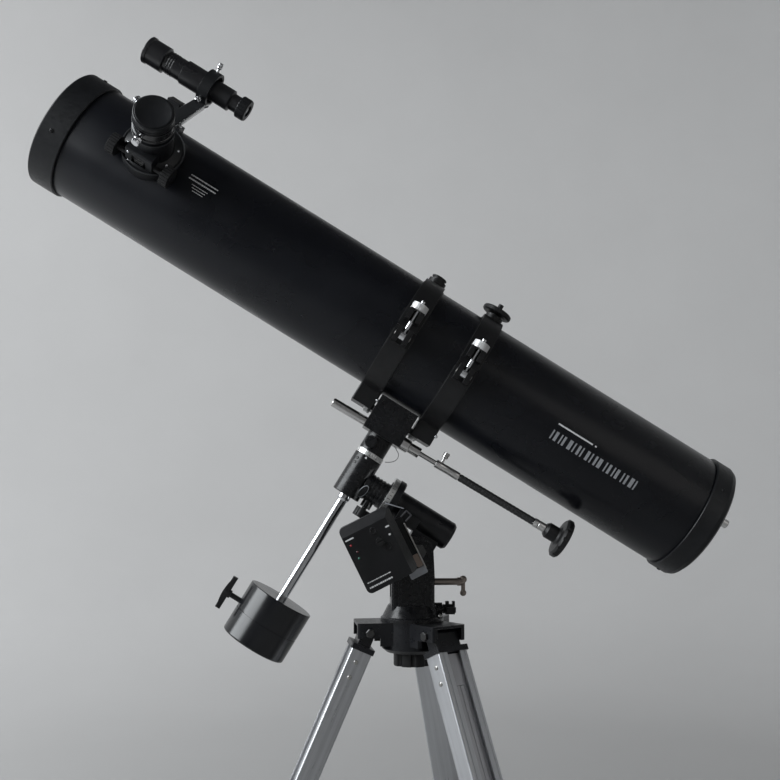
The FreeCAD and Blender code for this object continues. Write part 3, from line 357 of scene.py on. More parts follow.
def cable_sheath():
    """Black sheath over a wound core: a fine helix along the cable."""
    look = Look("cable_sheath", (0.012, 0.012, 0.013), 0.42, Specular_IOR_Level=0.5)
    wave = look.add("ShaderNodeTexWave", Vector=look.mapped(WORM), Scale=210.0, Distortion=0.6, Detail=2.0)
    look.colour(look.mix(wave.outputs["Fac"], (0.009, 0.009, 0.010), (0.030, 0.030, 0.031)))
    look.rough(look.span(look.noise(300.0, 3.0), 0.34, 0.5))
    look.bump(wave.outputs["Fac"], 0.12)
    return look


def mirror_face():
    look = Look("mirror_face", (0.90, 0.91, 0.92), 0.015, 1.0)
    haze = look.noise(40.0, 5.0)
    look.colour(look.mix(look.span(haze, 0.0, 1.0), (0.91, 0.92, 0.93), (0.84, 0.86, 0.88)))
    look.rough(look.span(look.noise(220.0, 4.0), 0.01, 0.05))
    return look


def lens_glass(name, tint):
    look = Look(name, tint, 0.02, Specular_IOR_Level=0.9, Coat_Weight=1.0, Coat_Roughness=0.02)
    bloom = look.noise(60.0, 3.0)
    look.colour(look.mix(look.span(bloom, 0.0, 1.0), tint, tuple(c * 0.5 for c in tint)))
    look.rough(look.span(look.noise(200.0, 3.0), 0.015, 0.06))
    return look


def print_ink(name, colour, gloss=0.5):
    """Screen-printed ink, a little broken up."""
    look = Look(name, colour, gloss)
    broken = look.noise(1600.0, 3.0)
    look.colour(look.mix(look.span(broken, 0.0, 1.0, 0.35, 0.6), tuple(c * 0.62 for c in colour), colour))
    look.rough(look.span(broken, gloss, gloss + 0.15))
    look.bump(broken, 0.01)
    return look


def lamp_plastic(name, colour, glow):
    """Tinted LED cap with a weak glow."""
    look = Look(name, colour, 0.18, Coat_Weight=0.6, Emission_Color=(*colour, 1.0), Emission_Strength=glow)
    swirl = look.noise(900.0, 2.0)
    look.colour(look.mix(look.span(swirl, 0.0, 1.0), colour, tuple(c * 0.55 for c in colour)))
    look.rough(look.span(swirl, 0.14, 0.28))
    return look


def studio_wall():
    """Pale plaster; painted shade: the floor round the object is painted darker than the wall, in place of
    less light falling on it.
    """
    look = Look("studio_wall", (0.60, 0.595, 0.59), 0.85, Specular_IOR_Level=0.2)
    plaster = look.noise(1.6, 5.0)
    wall = look.mix(look.span(plaster, 0.0, 1.0), (0.60, 0.595, 0.59), (0.575, 0.57, 0.565))
    place = look.add("ShaderNodeSeparateXYZ", Vector=look.place).outputs
    out = look.maths("SQRT", look.maths("ADD", look.maths("POWER", place["X"], 2.0),
                                        look.maths("POWER", place["Y"], 2.0)))
    # painted shade: floor colour darkened to (0.40, 0.397, 0.393) within 1.7 m of the centre, blending into
    # the wall colour by 3.6 m
    look.colour(look.mix(look.span(out, 1.0, 0.0, 1.7, 3.6), wall, (0.40, 0.397, 0.393)))
    look.bump(look.noise(45.0, 4.0), 0.3, 0.5)
    return look


LOOKS = {}


def make_looks():
    along_x = (0.02, 1, 1)
    along_z = (1, 1, 0.02)
    made = [
        tube_enamel(), cable_sheath(), mirror_face(),
        enamel("weight_enamel", (0.0022, 0.0026, 0.0036), 0.13, 0.008, 0.0),
        enamel("gloss_moulding", (0.005, 0.005, 0.006), 0.20, 0.008, 0.2),
        enamel("rim_grey", (0.018, 0.019, 0.021), 0.3, 0.008, 0.0),
        cast_paint("mount_paint", (0.004, 0.0042, 0.005), 0.32, 0.03),
        cast_paint("ring_paint", (0.005, 0.005, 0.0055), 0.36, 0.03),
        cast_paint("glossy_casting", (0.005, 0.0052, 0.006), 0.24, 0.012),
        moulded("hub_plastic", (0.0038, 0.0042, 0.0056), 0.30, 0.015),
        moulded("cap_plastic", (0.0042, 0.0047, 0.0058), 0.38, 0.02),
        moulded("knob_plastic", (0.006, 0.006, 0.0065), 0.42, 0.03),
        moulded("case_plastic", (0.0045, 0.0047, 0.0055), 0.36, 0.015, 2400.0),
        moulded("bracket_grey", (0.24, 0.25, 0.27), 0.45, 0.02),
        polished("chrome"), polished("rod_chrome", (0.66, 0.67, 0.69), 0.11, HEAD, along_z),
        polished("worm_chrome", (0.66, 0.65, 0.64), 0.16, WORM, along_x),
        brushed("machined_steel", (0.50, 0.49, 0.47), None, (1, 1, 1), 0.30),
        brushed("dark_steel", (0.10, 0.10, 0.10), None, (1, 1, 1), 0.34),
        brushed("tinted_steel", (0.30, 0.26, 0.23), None, (1, 1, 1), 0.32),
        brushed("nut_silver", (0.70, 0.70, 0.70), HEAD, along_z, 0.30, 0.02),
        brushed("knob_silver", (0.74, 0.73, 0.72), TUBE, along_x, 0.28, 0.01),
        # painted reflection: brownish tint of this brushed plate stands in for the floor reflected in the
        # drive's facet
        brushed("floor_reflection_plate", (0.34, 0.27, 0.23), DRIVE, along_x, 0.35),
        brushed("clip_grey", (0.16, 0.16, 0.17), None, (1, 1, 1), 0.4), engraved_silver("circle_silver"),
        rubbery("foot_rubber"), rubbery("grip_rubber", (0.014, 0.014, 0.015), 0.55),
        lens_glass("finder_coating", (0.010, 0.022, 0.030)),
        print_ink("white_print", (0.78, 0.79, 0.80)), print_ink("grey_print", (0.34, 0.35, 0.37)),
        print_ink("scale_black", (0.02, 0.02, 0.02)),
        lamp_plastic("red_lamp", (0.30, 0.012, 0.02),
                     0.08), lamp_plastic("dim_red_lamp", (0.09, 0.012, 0.018), 0.0),
        lamp_plastic("green_lamp", (0.03, 0.16, 0.11), 0.06),
        studio_wall(),
    ]
    for k, place in LEGS.items():
        made.append(brushed(f"leg_{k}_alloy", (0.60, 0.61, 0.63), place, along_z, 0.30))
        made.append(brushed(f"leg_{k}_inner", (0.56, 0.56, 0.58), place, along_z, 0.44))
    for look in made:
        LOOKS[look.name] = look.material


NODE_LOOKS = {
    "hub_plastic": ["tripod_hub"],
    "knob_plastic": ["hub_center_knob", "azimuth_lock_knob", "ra_lock_knob", "slow_motion_knob",
                     "counterweight_knob", "focuser_pinion", "drive_dial", "piggyback_knob"],
    "cap_plastic": ["spreader_tray", "eyepiece", "focuser_body", "mirror_cell", "tube_front_ring",
                    "finder_eyepiece", "finder_bracket"],
    "gloss_moulding": ["finder_tube", "focuser_drawtube"],
    "case_plastic": ["drive_box"],
    "mount_paint": ["ra_housing", "spider"],
    "glossy_casting": ["azimuth_base", "dec_housing", "dec_lock_knob", "dec_head"],
    "ring_paint": ["ring_cradle", "ring_front_upper", "ring_rear_upper"],
    "tinted_steel": ["latitude_bolt"],
    "dark_steel": ["latitude_pivot_bolt"],
    "circle_silver": ["ra_setting_circle", "dec_setting_circle"],
    "worm_chrome": ["worm_shaft"],
    "rod_chrome": ["counterweight_rod"],
    "chrome": ["ring_swing_bolts"],
    "nut_silver": ["ring_front_nut", "ring_rear_nut"],
    "knob_silver": ["collimation_knobs"],
    "weight_enamel": ["counterweight"],
    "tube_enamel": ["main_tube"],
    "mirror_face": ["primary_mirror"],
    "cable_sheath": ["slow_motion_cable"],
}


def dress(node, look):
    """Gives a CAD node its material."""
    slots = NODES[node].material_slots
    if not slots:
        NODES[node].data.materials.append(LOOKS[look])
    for one in NODES[node].material_slots:
        one.material = LOOKS[look]


def dress_nodes():
    for look, names in NODE_LOOKS.items():
        for node in names:
            dress(node, look)
    for k in (1, 2, 3):
        dress(f"leg_{k}_rail", f"leg_{k}_alloy")
        dress(f"leg_{k}_lower", f"leg_{k}_inner")
        dress(f"leg_{k}_fittings", "hub_plastic")
        dress(f"leg_{k}_foot", "foot_rubber")
        dress(f"leg_{k}_lock_knob", "knob_plastic")
        dress(f"leg_{k}_brace", "machined_steel")


# ---- mesh toolkit, in millimetres -----------------------------------------------------------------
def finished(name, mesh, body, look, smooth=True):
    """Makes an object from a bmesh whose points are in row-frame metres and lets it ride."""
    data = bpy.data.meshes.new(name)
    bmesh.ops.recalc_face_normals(mesh, faces=mesh.faces)
    mesh.to_mesh(data)
    mesh.free()
    piece = bpy.data.objects.new(name, data)
    bpy.context.scene.collection.objects.link(piece)
    data.materials.append(LOOKS[look])
    if smooth:
        data.shade_smooth()
        data.set_sharp_from_angle(angle=math.radians(32))
    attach(piece, body)
    return piece


def add_lathe(mesh, profile, place, segments=32):
    """Turns a closed outline of (radius, height) points about the local z axis."""
    rings = []
    for radius, height in profile:
        if radius < 1e-6:
            rings.append([mesh.verts.new(place @ (Vector((0, 0, height)) * MM))])
            continue
        ring = []
        for i in range(segments):
            a = 2 * math.pi * i / segments
            ring.append(mesh.verts.new(place @ (Vector((radius * math.cos(a), radius * math.sin(a),
                                                        height)) * MM)))
        rings.append(ring)
    pairs = list(zip(rings, rings[1:]))
    if profile[0][0] > 1e-6 or profile[-1][0] > 1e-6:
        pairs.append((rings[-1], rings[0]))
    for low, high in pairs:
        for i in range(segments):
            j = (i + 1) % segments
            corners = [low[i % len(low)], low[j % len(low)], high[j % len(high)], high[i % len(high)]]
            unique = list(dict.fromkeys(corners))
            if len(unique) > 2:
                mesh.faces.new(unique)


def add_prism(mesh, outline, height, place, chamfer=0.0):
    """Raises an outline of (x, y) points along local z, with a chamfered top."""
    centre = Vector((sum(p[0] for p in outline), sum(p[1] for p in outline))) / len(outline)
    levels = [(0.0, 0.0), (height - chamfer, 0.0)]
    if chamfer:
        levels.append((height, chamfer))
    rings = []
    for z, inset in levels:
        ring = []
        for x, y in outline:
            toward = (centre - Vector((x, y)))
            step = toward.normalized() * min(inset * 1.3, toward.length * 0.6)
            ring.append(mesh.verts.new(place @ (Vector((x + step.x, y + step.y, z)) * MM)))
        rings.append(ring)
    count = len(outline)
    for low, high in zip(rings, rings[1:]):
        for i in range(count):
            j = (i + 1) % count
            mesh.faces.new((low[i], low[j], high[j], high[i]))
    mesh.faces.new(list(reversed(rings[0])))
    mesh.faces.new(rings[-1])


def rounded(width, depth, radius, steps=4):
    """Outline of a rectangle with round corners."""
    points = []
    for sx, sy, start in ((1, 1, 0), (-1, 1, 90), (-1, -1, 180), (1, -1, 270)):
        for i in range(steps + 1):
            a = math.radians(start + 90 * i / steps)
            points.append((sx * (width / 2 - radius) + radius * math.cos(a),
                           sy * (depth / 2 - radius) + radius * math.sin(a)))
    return points


def polygon(radius, sides, start=0.0):
    return [(radius * math.cos(math.radians(start + 360 * i / sides)),
             radius * math.sin(math.radians(start + 360 * i / sides))) for i in range(sides)]


def dome(radius, height):
    """Profile of a low round head, open underneath at z = 0."""
    points = [(0, -0.3), (radius, -0.3), (radius, height * 0.25)]
    for i in range(1, 6):
        a = math.pi / 2 * i / 6
        points.append((radius * math.cos(a), height * (0.25 + 0.75 * math.sin(a))))
    points.append((0, height))
    return points


def add_cross_screw(mesh, radius, place):
    """Domed head with a cross recess sunk into a flat crown."""
    arm, width = radius * 0.58, radius * 0.17
    cross = [(arm, -width), (arm, width), (width, width), (width, arm), (-width, arm), (-width, width),
             (-arm, width), (-arm, -width), (-width, -width), (-width, -arm), (width, -arm), (width, -width)]
    height = radius * 0.55
    steps = 24
    rings = []
    for r, z in ((radius, -0.3), (radius, height * 0.2), (radius * 0.95, height * 0.55),
                 (radius * 0.82, height * 0.85),
                 (radius * 0.68, height)):
        rings.append([mesh.verts.new(place @ (Vector((r * math.cos(2 * math.pi * i / steps),
                                                      r * math.sin(2 * math.pi * i / steps), z)) * MM))
                      for i in range(steps)])
    for low, high in zip(rings, rings[1:]):
        for i in range(steps):
            j = (i + 1) % steps
            mesh.faces.new((low[i], low[j], high[j], high[i]))
    mesh.faces.new(list(reversed(rings[0])))
    top = [mesh.verts.new(place @ (Vector((x, y, height)) * MM)) for x, y in cross]
    floor = [mesh.verts.new(place @ (Vector((x * 0.8, y * 0.8, height * 0.2)) * MM)) for x, y in cross]
    count = len(cross)
    for i in range(count):
        j = (i + 1) % count
        mesh.faces.new((top[j], top[i], floor[i], floor[j]))
    mesh.faces.new(floor)
    # the crown between the round rim and the cross: two vertices of the rim for each of the cross
    rim = rings[-1]
    for i in range(count):
        j = (i + 1) % count
        a, b, c = rim[(2 * i - 1) % steps], rim[(2 * i) % steps], rim[(2 * i + 1) % steps]
        mesh.faces.new((a, b, top[i]))
        mesh.faces.new((b, c, top[i]))
        mesh.faces.new((c, top[j], top[i]))


def screws(name, places, radius, body, look):
    mesh = bmesh.new()
    for place in places:
        add_cross_screw(mesh, radius, place)
    return finished(name, mesh, body, look)


def lathes(name, items, body, look, segments=32):
    """One object from several (profile, place) pairs."""
    mesh = bmesh.new()
    for profile, place in items:
        add_lathe(mesh, profile, place, segments)
    return finished(name, mesh, body, look)


def prisms(name, items, body, look):
    """One object from several (outline, height, place, chamfer) entries."""
    mesh = bmesh.new()
    for outline, height, place, chamfer in items:
        add_prism(mesh, outline, height, place, chamfer)
    return finished(name, mesh, body, look)


def wrapped(name, frame_at, radius, patches, body, look, lift=0.06, thick=0.10):
    """Ink patches on a cylinder, each (x0, x1, angle0, angle1), in degrees from local z towards -y."""
    mesh = bmesh.new()
    for x0, x1, a0, a1 in patches:
        steps = max(1, int(abs(a1 - a0) / 1.5))
        shells = []
        for r in (radius + lift - thick, radius + lift):
            rows = []
            for x in (x0, x1):
                row = []
                for i in range(steps + 1):
                    a = math.radians(a0 + (a1 - a0) * i / steps)
                    row.append(mesh.verts.new(frame_at @ (Vector((x, -r * math.sin(a),
                                                                  r * math.cos(a))) * MM)))
                rows.append(row)
            shells.append(rows)
        (in0, in1), (out0, out1) = shells
        for i in range(steps):
            mesh.faces.new((out0[i], out0[i + 1], out1[i + 1], out1[i]))
            mesh.faces.new((in0[i + 1], in0[i], in1[i], in1[i + 1]))
            mesh.faces.new((in0[i], in0[i + 1], out0[i + 1], out0[i]))
            mesh.faces.new((in1[i + 1], in1[i], out1[i], out1[i + 1]))
        mesh.faces.new((in0[0], out0[0], out1[0], in1[0]))
        mesh.faces.new((out0[-1], in0[-1], in1[-1], out1[-1]))
    return finished(name, mesh, body, look)


def sweep(name, points, radius, body, look, sides=10):
    """Round wire along a smooth curve through points given in row-frame metres."""
    curve = bpy.data.curves.new(name, "CURVE")
    curve.dimensions = "3D"
    curve.bevel_depth = radius * MM
    curve.bevel_resolution = sides // 4
    curve.use_fill_caps = True
    spline = curve.splines.new("NURBS")
    spline.points.add(len(points) - 1)
    for point, co in zip(spline.points, points):
        point.co = (*co, 1.0)
    spline.order_u = 3
    spline.use_endpoint_u = True
    curve.resolution_u = 8
    curve.materials.append(LOOKS[look])
    piece = bpy.data.objects.new(name, curve)
    bpy.context.scene.collection.objects.link(piece)
    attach(piece, body)
    return piece


def digits(name, texts, size, body, look):
    """Generic dial numbers: each text comes with a placement whose local z points out of the surface."""
    mesh = bmesh.new()
    for text, place in texts:
        font = bpy.data.curves.new("digit", "FONT")
        font.body = text
        font.size = size * MM
        font.align_x = "CENTER"
        font.align_y = "CENTER"
        font.extrude = 0.05 * MM
        font.resolution_u = 2
        holder = bpy.data.objects.new("digit", font)
        shape = bpy.data.meshes.new_from_object(holder)
        shape.transform(place)
        mesh.from_mesh(shape)
        bpy.data.objects.remove(holder)
        bpy.data.meshes.remove(shape)
    return finished(name, mesh, body, look, smooth=False)


# ---- tube ---------------------------------------------------------------------------------------
def tube_marks():
    """Generic printed marks: short strokes that stand where a label is."""
    lines = [(-339.0, -303.0, 71.2, 72.4), (-339.2, -303.8, 75.0, 76.4), (-332.0, -311.0, 79.6, 80.3),
             (-330.0, -312.5, 82.2, 82.9), (-327.5, -314.0, 84.8, 85.5)]
    patches = []
    for row, (x0, x1, a0, a1) in enumerate(lines):
        x, k = x0, row
        while x < x1 - 1.0:
            step = (1.5, 2.3, 1.1, 2.9, 1.8)[k % 5]
            patches.append((x, min(x + step, x1), a0, a1))
            x += step + 0.45
            k += 1
    wrapped("tube_small_marks", TUBE, TUBE_R, patches, "tube", "white_print")
    bars = []
    x, k = 160.0, 0
    while x < 272.0:
        width = (1.7, 3.4, 1.7, 2.6, 4.2, 1.7, 3.0)[k % 7]
        bars.append((x, x + width, 96.4, 105.6))
        x += width + (2.6, 3.4, 2.2, 4.6)[k % 4]
        k += 1
    wrapped("tube_bar_marks", TUBE, TUBE_R, bars, "tube", "grey_print")
    stripe = [(161.0, 206.0, 88.9, 90.4), (209.0, 211.0, 88.9, 90.4)]
    wrapped("tube_stripe_mark", TUBE, TUBE_R, stripe, "tube", "white_print")


def round_tube(x, radius, angles):
    """Places on the tube's side: local z points straight out."""
    return [TUBE @ turn(a, "X") @ mm(x, 0, radius) for a in angles]


def tube_skin():
    """The coat of paint on the tube, as one smooth surface just outside the sheet metal."""
    outside = SKIN_R + SKIN_THICK
    skin = [(SKIN_R, SKIN_FROM), (outside, SKIN_FROM + 0.1), (outside, SKIN_TO - 0.1), (SKIN_R, SKIN_TO)]
    lathes("tube_paint_skin", [(skin, TUBE @ turn(90, "Y"))], "tube", "tube_enamel", 160)


def tube_fittings():
    """Ring and cell screws, the mirror's curved face and the collimation lock screws."""
    screws("front_ring_screws", round_tube(-496.4, 72.8, (106.2, 196.2, 286.2, 16.2)), 2.5, "tube",
           "mount_paint")
    screws("mirror_cell_screws", round_tube(361.0, 72.8, (60, 180, 300)), 2.3, "tube", "mount_paint")
    face_x = 335.0
    bowl = []
    for i in range(13):
        r = 56.4 * i / 12
        bowl.append((r, r * r / 3600.0 + 1.15))
    profile = bowl + [(56.4, 0.4), (0, 0.4)]
    lathes("primary_mirror_face", [(profile, TUBE @ mm(face_x, 0, 0) @ turn(-90, "Y"))], "tube",
           "mirror_face",
           72)
    ring = [(2.6, 1.2), (4.2, 1.2), (4.2, 1.45), (2.6, 1.45)]
    lathes("mirror_centre_ring", [(ring, TUBE @ mm(face_x, 0, 0) @ turn(-90, "Y"))], "tube", "scale_black",
           32)
    lock = [(0, -1.5), (3.4, -1.5), (3.4, 0.6), (2.8, 1.2), (1.4, 1.2), (1.4, 0.2), (0, 0.2)]
    places = []
    for i in range(3):
        a = 2 * math.pi * i / 3 + 0.9 + math.pi / 3
        places.append((lock, TUBE @ mm(375.2, 48 * math.cos(a), 48 * math.sin(a)) @ turn(90, "Y")))
    lathes("collimation_lock_screws", places, "tube", "machined_steel", 24)


def thumbscrew(radius, stem, length, head):
    """Outline of a chrome thumbscrew with a waisted head."""
    return [(0, 0), (stem, 0), (stem, length), (radius * 0.75, length + 0.4), (radius, length + 1.2),
            (radius, length + head * 0.4), (radius * 0.86,
                                            length + head * 0.5), (radius, length + head * 0.6),
            (radius, length + head - 0.6), (radius - 0.7, length + head), (0, length + head)]


def holder_band(height):
    """Thin turned ring round the eyepiece holder."""
    return [(21.0, height), (22.9, height), (23.15, height + 0.2), (23.15, height + 0.6),
            (22.9, height + 0.8),
            (21.0, height + 0.8)]


def focuser_fittings():
    bands = [(holder_band(HOLDER_TOP - 14.6), FOCUS), (holder_band(HOLDER_TOP - 1.5), FOCUS)]
    lathes("eyepiece_holder_bands", bands, "drawtube", "rim_grey", 72)
    clamp = thumbscrew(5.0, 2.4, 4.4, 8.0)
    places = []
    for angle in (268.0, 157.0):
        places.append((clamp, FOCUS @ turn(angle, "Z") @ mm(21.9, 0, HOLDER_TOP - 7.5) @ turn(90, "Y")))
    lathes("eyepiece_clamp_screws", places, "drawtube", "chrome", 28)
    spots = []
    for angle in (205.0, 25.0, 115.0, 335.0):
        spots.append(FOCUS @ turn(angle, "Z") @ mm(28.0, 0, 78.5) @ turn(32, "Y"))
    screws("focuser_flange_screws", spots, 1.7, "tube", "chrome")
    rim = [(34.0, 75.0), (35.2, 75.0), (35.45, 75.5), (35.2, 76.1), (34.4, 76.3), (34.0, 76.1)]
    lathes("focuser_saddle_rim", [(rim, FOCUS)], "tube", "rim_grey", 96)
    lip = [(22.9, 112.4), (23.5, 112.6), (23.6, 113.2), (23.2, 113.7), (22.6, 113.7)]
    lathes("focuser_body_lip", [(lip, FOCUS)], "tube", "rim_grey", 80)
    pins = [FOCUS @ mm(-13.2, -28.95, height) @ turn(90, "X") for height in (92.0, 75.0)]
    screws("focuser_cover_screws", pins, 1.7, "tube", "chrome")
    ends = [(dome(3.6, 1.0), PINION @ mm(side * 39.5, 0, 0) @ turn(90 * side, "Y")) for side in (-1, 1)]
    lathes("focus_knob_caps", ends, "pinion", "cap_plastic", 28)
    teeth = []
    for i in range(28):
        a = 2 * math.pi * i / 28
        radius = 4.93 if i % 2 else 4.3
        teeth.append((radius * math.cos(a), radius * math.sin(a)))
    prisms("focus_pinion_teeth", [(teeth, 11.0, PINION @ mm(-5.5, 0, 0) @ turn(90, "Y"), 0.0)], "pinion",
           "machined_steel")
    top = HOLDER_TOP + 11.4
    cap = [(0, top - 0.05), (18.8, top - 0.05), (20.0, top + 0.1), (20.3, top + 0.4), (20.0, top + 0.7),
           (18.9, top + 0.8), (18.3, top + 0.5), (0, top + 0.5)]
    lathes("eyepiece_cap_rim", [(cap, FOCUS)], "eyepiece_piece", "cap_plastic", 64)


def finder_fittings():
    """Lenses, hood, grooves, adjusting screws and the bare edge of the finder's arm."""
    lens = [(0, 0), (12.9, 0), (12.9, 0.6)]
    for i in range(8, -1, -1):
        r = 12.6 * i / 8
        lens.append((r, 0.6 + 2.2 * (1 - (r / 12.6) ** 2)))
    at = FINDER @ mm(-452.2, 0, FINDER_R) @ turn(-90, "Y")
    lathes("finder_lens", [(lens, at)], "tube", "finder_coating", 48)
    hood = [(13.1, 4.2), (15.6, 4.2), (16.15, 4.8), (16.15, 7.9), (15.5, 8.7), (13.6, 8.7), (13.1, 8.2)]
    lathes("finder_hood_ring", [(hood, at)], "tube", "gloss_moulding", 56)
    items = []
    for angle in (0.0, 120.0, 240.0):
        spot = FINDER @ mm(-377.5, 0, FINDER_R) @ turn(angle, "X") @ mm(0, 0, 18.6)
        items.append((thumbscrew(3.1, 1.8, 5.0, 7.0), spot))
    lathes("finder_adjusting_screws", items, "tube", "chrome", 24)
    grooves = []
    for x in (-430.5, -427.5, -424.5):
        ring = [(12.4, 0), (13.15, 0), (13.3, 0.35), (13.15, 0.7), (12.4, 0.7)]
        grooves.append((ring, FINDER @ mm(x, 0, FINDER_R) @ turn(90, "Y")))
    lathes("finder_barrel_ribs", grooves, "tube", "gloss_moulding", 48)
    glass = [(0, -1.6), (6.8, -1.6), (6.8, -1.2), (0, -0.5)]
    lathes("finder_eye_glass", [(glass, FINDER @ mm(-326.6, 0, FINDER_R) @ turn(90, "Y"))], "finder_focus",
           "finder_coating", 32)
    screws("finder_foot_screws", [FINDER @ mm(x, 0, 76.0) for x in (-410.0, -389.0)], 2.2, "tube", "chrome")
    edge = FINDER @ mm(-381.9, 0, 96.0) @ turn(-62.4, "Y") @ turn(180, "X")
    prisms("finder_arm_edge", [(rounded(47, 15.2, 1.0), 1.2, edge, 0.3)], "tube", "nut_silver")


# ---- rings and mount ------------------------------------------------------------------------------
def ring_fittings():
    """Felt strips, bolts and rivets of the tube rings."""
    for name, body, half in (("ring_felt_lower", "dec_axis", 180.0), ("ring_felt_front", "ring_front", 0.0),
                             ("ring_felt_rear", "ring_rear", 0.0)):
        patches = []
        for u in RING_U:
            if (body == "ring_front" and u > 0) or (body == "ring_rear" and u < 0):
                continue
            patches.append((u - 13.6, u - 12.5, half - 86, half + 86))
            patches.append((u + 12.5, u + 13.6, half - 86, half + 86))
        wrapped(name, TUBE, TUBE_R, patches, body, "grip_rubber", lift=1.3, thick=1.15)
    bolts = []
    for u in RING_U:
        for y in (-10.5, 10.5):
            bolts.append((polygon(4.6, 6, 15), 3.2, HEAD @ mm(u + (8 if u < 0 else -8), y,
                                                              77.0) @ turn(180, "X"), 0.5))
    prisms("ring_foot_bolts", bolts, "dec_axis", "nut_silver")
    pins = []
    for u in RING_U:
        for side in (-1, 1):
            pins.append((dome(2.9, 1.0), HEAD @ mm(u + side * 12.5, 84, TUBE_V) @ turn(90 * side, "Y")))
            pins.append((dome(2.8, 0.9), HEAD @ mm(u + side * 9.0, -86, 160) @ turn(90 * side, "Y")))
    lathes("ring_hinge_rivets", pins, "dec_axis", "machined_steel", 20)
    foot_screws = [HEAD @ mm(-26.2, -21.2, 90.0) @ turn(90, "X"),
                   HEAD @ mm(53.8, -21.2, 90.0) @ turn(90, "X")]
    screws("ring_foot_screws", foot_screws, 2.0, "dec_axis", "chrome")


def nut_fittings():
    for label, u in (("front", RING_U[0]), ("rear", RING_U[1])):
        collar = [(3.0, 8.0), (6.6, 8.0), (6.9, 8.3), (6.6, 8.9), (3.0, 9.1)]
        lathes(f"clamp_nut_{label}_crown", [(collar, HEAD @ mm(u, -86, TUBE_V + 21.65))], f"clamp_{label}",
               "nut_silver",
               40)
    ribs = []
    for i in range(36):
        ribs.append((rounded(0.9, 3.6, 0.3, 1), 0.5, HEAD @ mm(RING_U[1], 0,
                                                               TUBE_V + 86.1) @ turn(10 * i, "Z")
                     @ mm(17.7, 0, 0) @ turn(90, "Y") @ turn(90, "Z"), 0.15))
    prisms("piggyback_knob_ribs", ribs, "piggyback", "knob_plastic")


def scale_numbers(name, radius, x_mid, frame_at, numbers, size, body, axis_turn):
    texts = []
    for i, number in enumerate(numbers):
        a = 360.0 * i / len(numbers)
        texts.append((str(number), frame_at @ turn(a, "X") @ mm(x_mid, 0, radius) @ turn(axis_turn, "Z")))
    digits(name, texts, size, body, "scale_black")


def circle_fittings():
    dec = HEAD @ turn(-90, "Y")          # local x along the declination axis
    ticks = [(31.6 if i % 3 else 30.4, 35.3, 10.0 * i - 0.55, 10.0 * i + 0.55) for i in range(36)]
    wrapped("dec_circle_paint", dec, 16.72, ticks, "dec_circle", "scale_black", lift=0.02, thick=0.3)
    scale_numbers("dec_circle_numbers", 17.02, 30.9, dec, (0, 30, 60, 90, 60, 30, 0, 30, 60, 90, 60, 30), 2.2,
                  "dec_circle", 90)
    ticks = [(43.6 if i % 3 else 42.4, 46.0, 10.0 * i - 0.45, 10.0 * i + 0.45) for i in range(36)]
    wrapped("polar_circle_paint", HEAD, 25.72, ticks, "polar_circle", "scale_black", lift=0.02, thick=0.3)
    scale_numbers("polar_circle_numbers", 26.02, 43.2, HEAD, tuple(range(0, 24, 2)), 2.4, "polar_circle", 90)
    pointer = [(-1.6, 0.0), (1.6, 0.0), (0.0, 3.0)]
    prisms("dec_pointer", [(pointer, 0.3, HEAD @ turn(-8, "Z") @ mm(0, -16.9, 25.6) @ turn(90, "X"), 0.1)],
           "ra_axis",
           "white_print")


def dec_fittings():
    """Screws of the declination casting, a painted highlight on its neck, an end ring and the pointer wire.
    """
    spots = []
    for y_turn, v in ((-40, 22.0), (-40, 16.5), (140, 19.0)):
        spots.append(HEAD @ turn(y_turn, "Z") @ mm(0, -17.0, v) @ turn(90, "X"))
    screws("dec_housing_screws", spots, 1.7, "ra_axis", "dark_steel")
    # painted highlight: a light grey oval ring on the neck stands in for the glossy flange's reflection; the
    # field inside it is casting paint
    outer = [(9.4 * math.cos(2 * math.pi * i / 40), 4.2 * math.sin(2 * math.pi * i / 40)) for i in range(40)]
    inner = [(x * 0.93, y * 0.85) for x, y in outer]
    at = HEAD @ turn(29, "X") @ mm(15.2, -15.9, 0) @ turn(90, "X") @ turn(80, "Z")
    prisms("neck_painted_highlight", [(outer, 0.6, at, 0.2)], "ra_axis", "bracket_grey")
    prisms("neck_painted_highlight_field", [(inner, 0.7, at, 0.1)], "ra_axis", "glossy_casting")
    end = [(9.4, -21.98), (16.2, -21.98), (17.0, -21.2), (17.0, -15.0), (16.6, -15.0), (14.9, -19.5),
           (9.4, -21.6)]
    lathes("dec_housing_end_ring", [(end, HEAD)], "ra_axis", "glossy_casting", 64)
    wire = [(18.5, -20.0, 55.5), (22.5, -21.0, 53.0), (28.0, -21.5, 50.0), (29.5, -21.5, 43.5),
            (25.0, -21.0, 37.0),
            (19.0, -19.0, 34.0)]
    sweep("dec_pointer_wire", [HEAD @ (Vector(p) * MM) for p in wire], 0.42, "dec_axis", "dark_steel")


def cable_fittings():
    """Ferrule, collar, collar screw and knob cap of the slow-motion cable."""
    ferrule = [(4.6, 203.5), (5.1, 203.5), (5.35, 204.0), (5.35, 208.2), (5.0, 208.6), (5.0, 209.6),
               (5.35, 210.0),
               (5.35, 217.4), (5.0, 218.8), (4.6, 218.8)]
    lathes("cable_ferrule", [(ferrule, WORM @ turn(90, "Y"))], "dec_worm", "knob_silver", 36)
    collar = [(4.4, 70.0), (4.8, 70.0), (5.0, 70.5), (5.0, 78.0), (4.8, 78.4), (4.8, 92.0), (5.0, 92.4),
              (5.0, 100.5),
              (4.6, 101.2), (4.4, 101.2)]
    lathes("cable_collar", [(collar, WORM @ turn(90, "Y"))], "dec_worm", "knob_silver", 36)
    head = thumbscrew(3.8, 1.8, 6.0, 7.4)
    lathes("cable_collar_screw", [(head, WORM @ mm(76, 0, 3.8))], "dec_worm", "knob_silver", 24)
    hub = [(0, 243.4), (5.4, 243.4), (5.8, 243.8), (5.8, 245.0), (5.2, 245.6), (0, 245.9)]
    lathes("slow_motion_knob_cap", [(hub, WORM @ turn(90, "Y"))], "dec_worm", "cap_plastic",
           32)


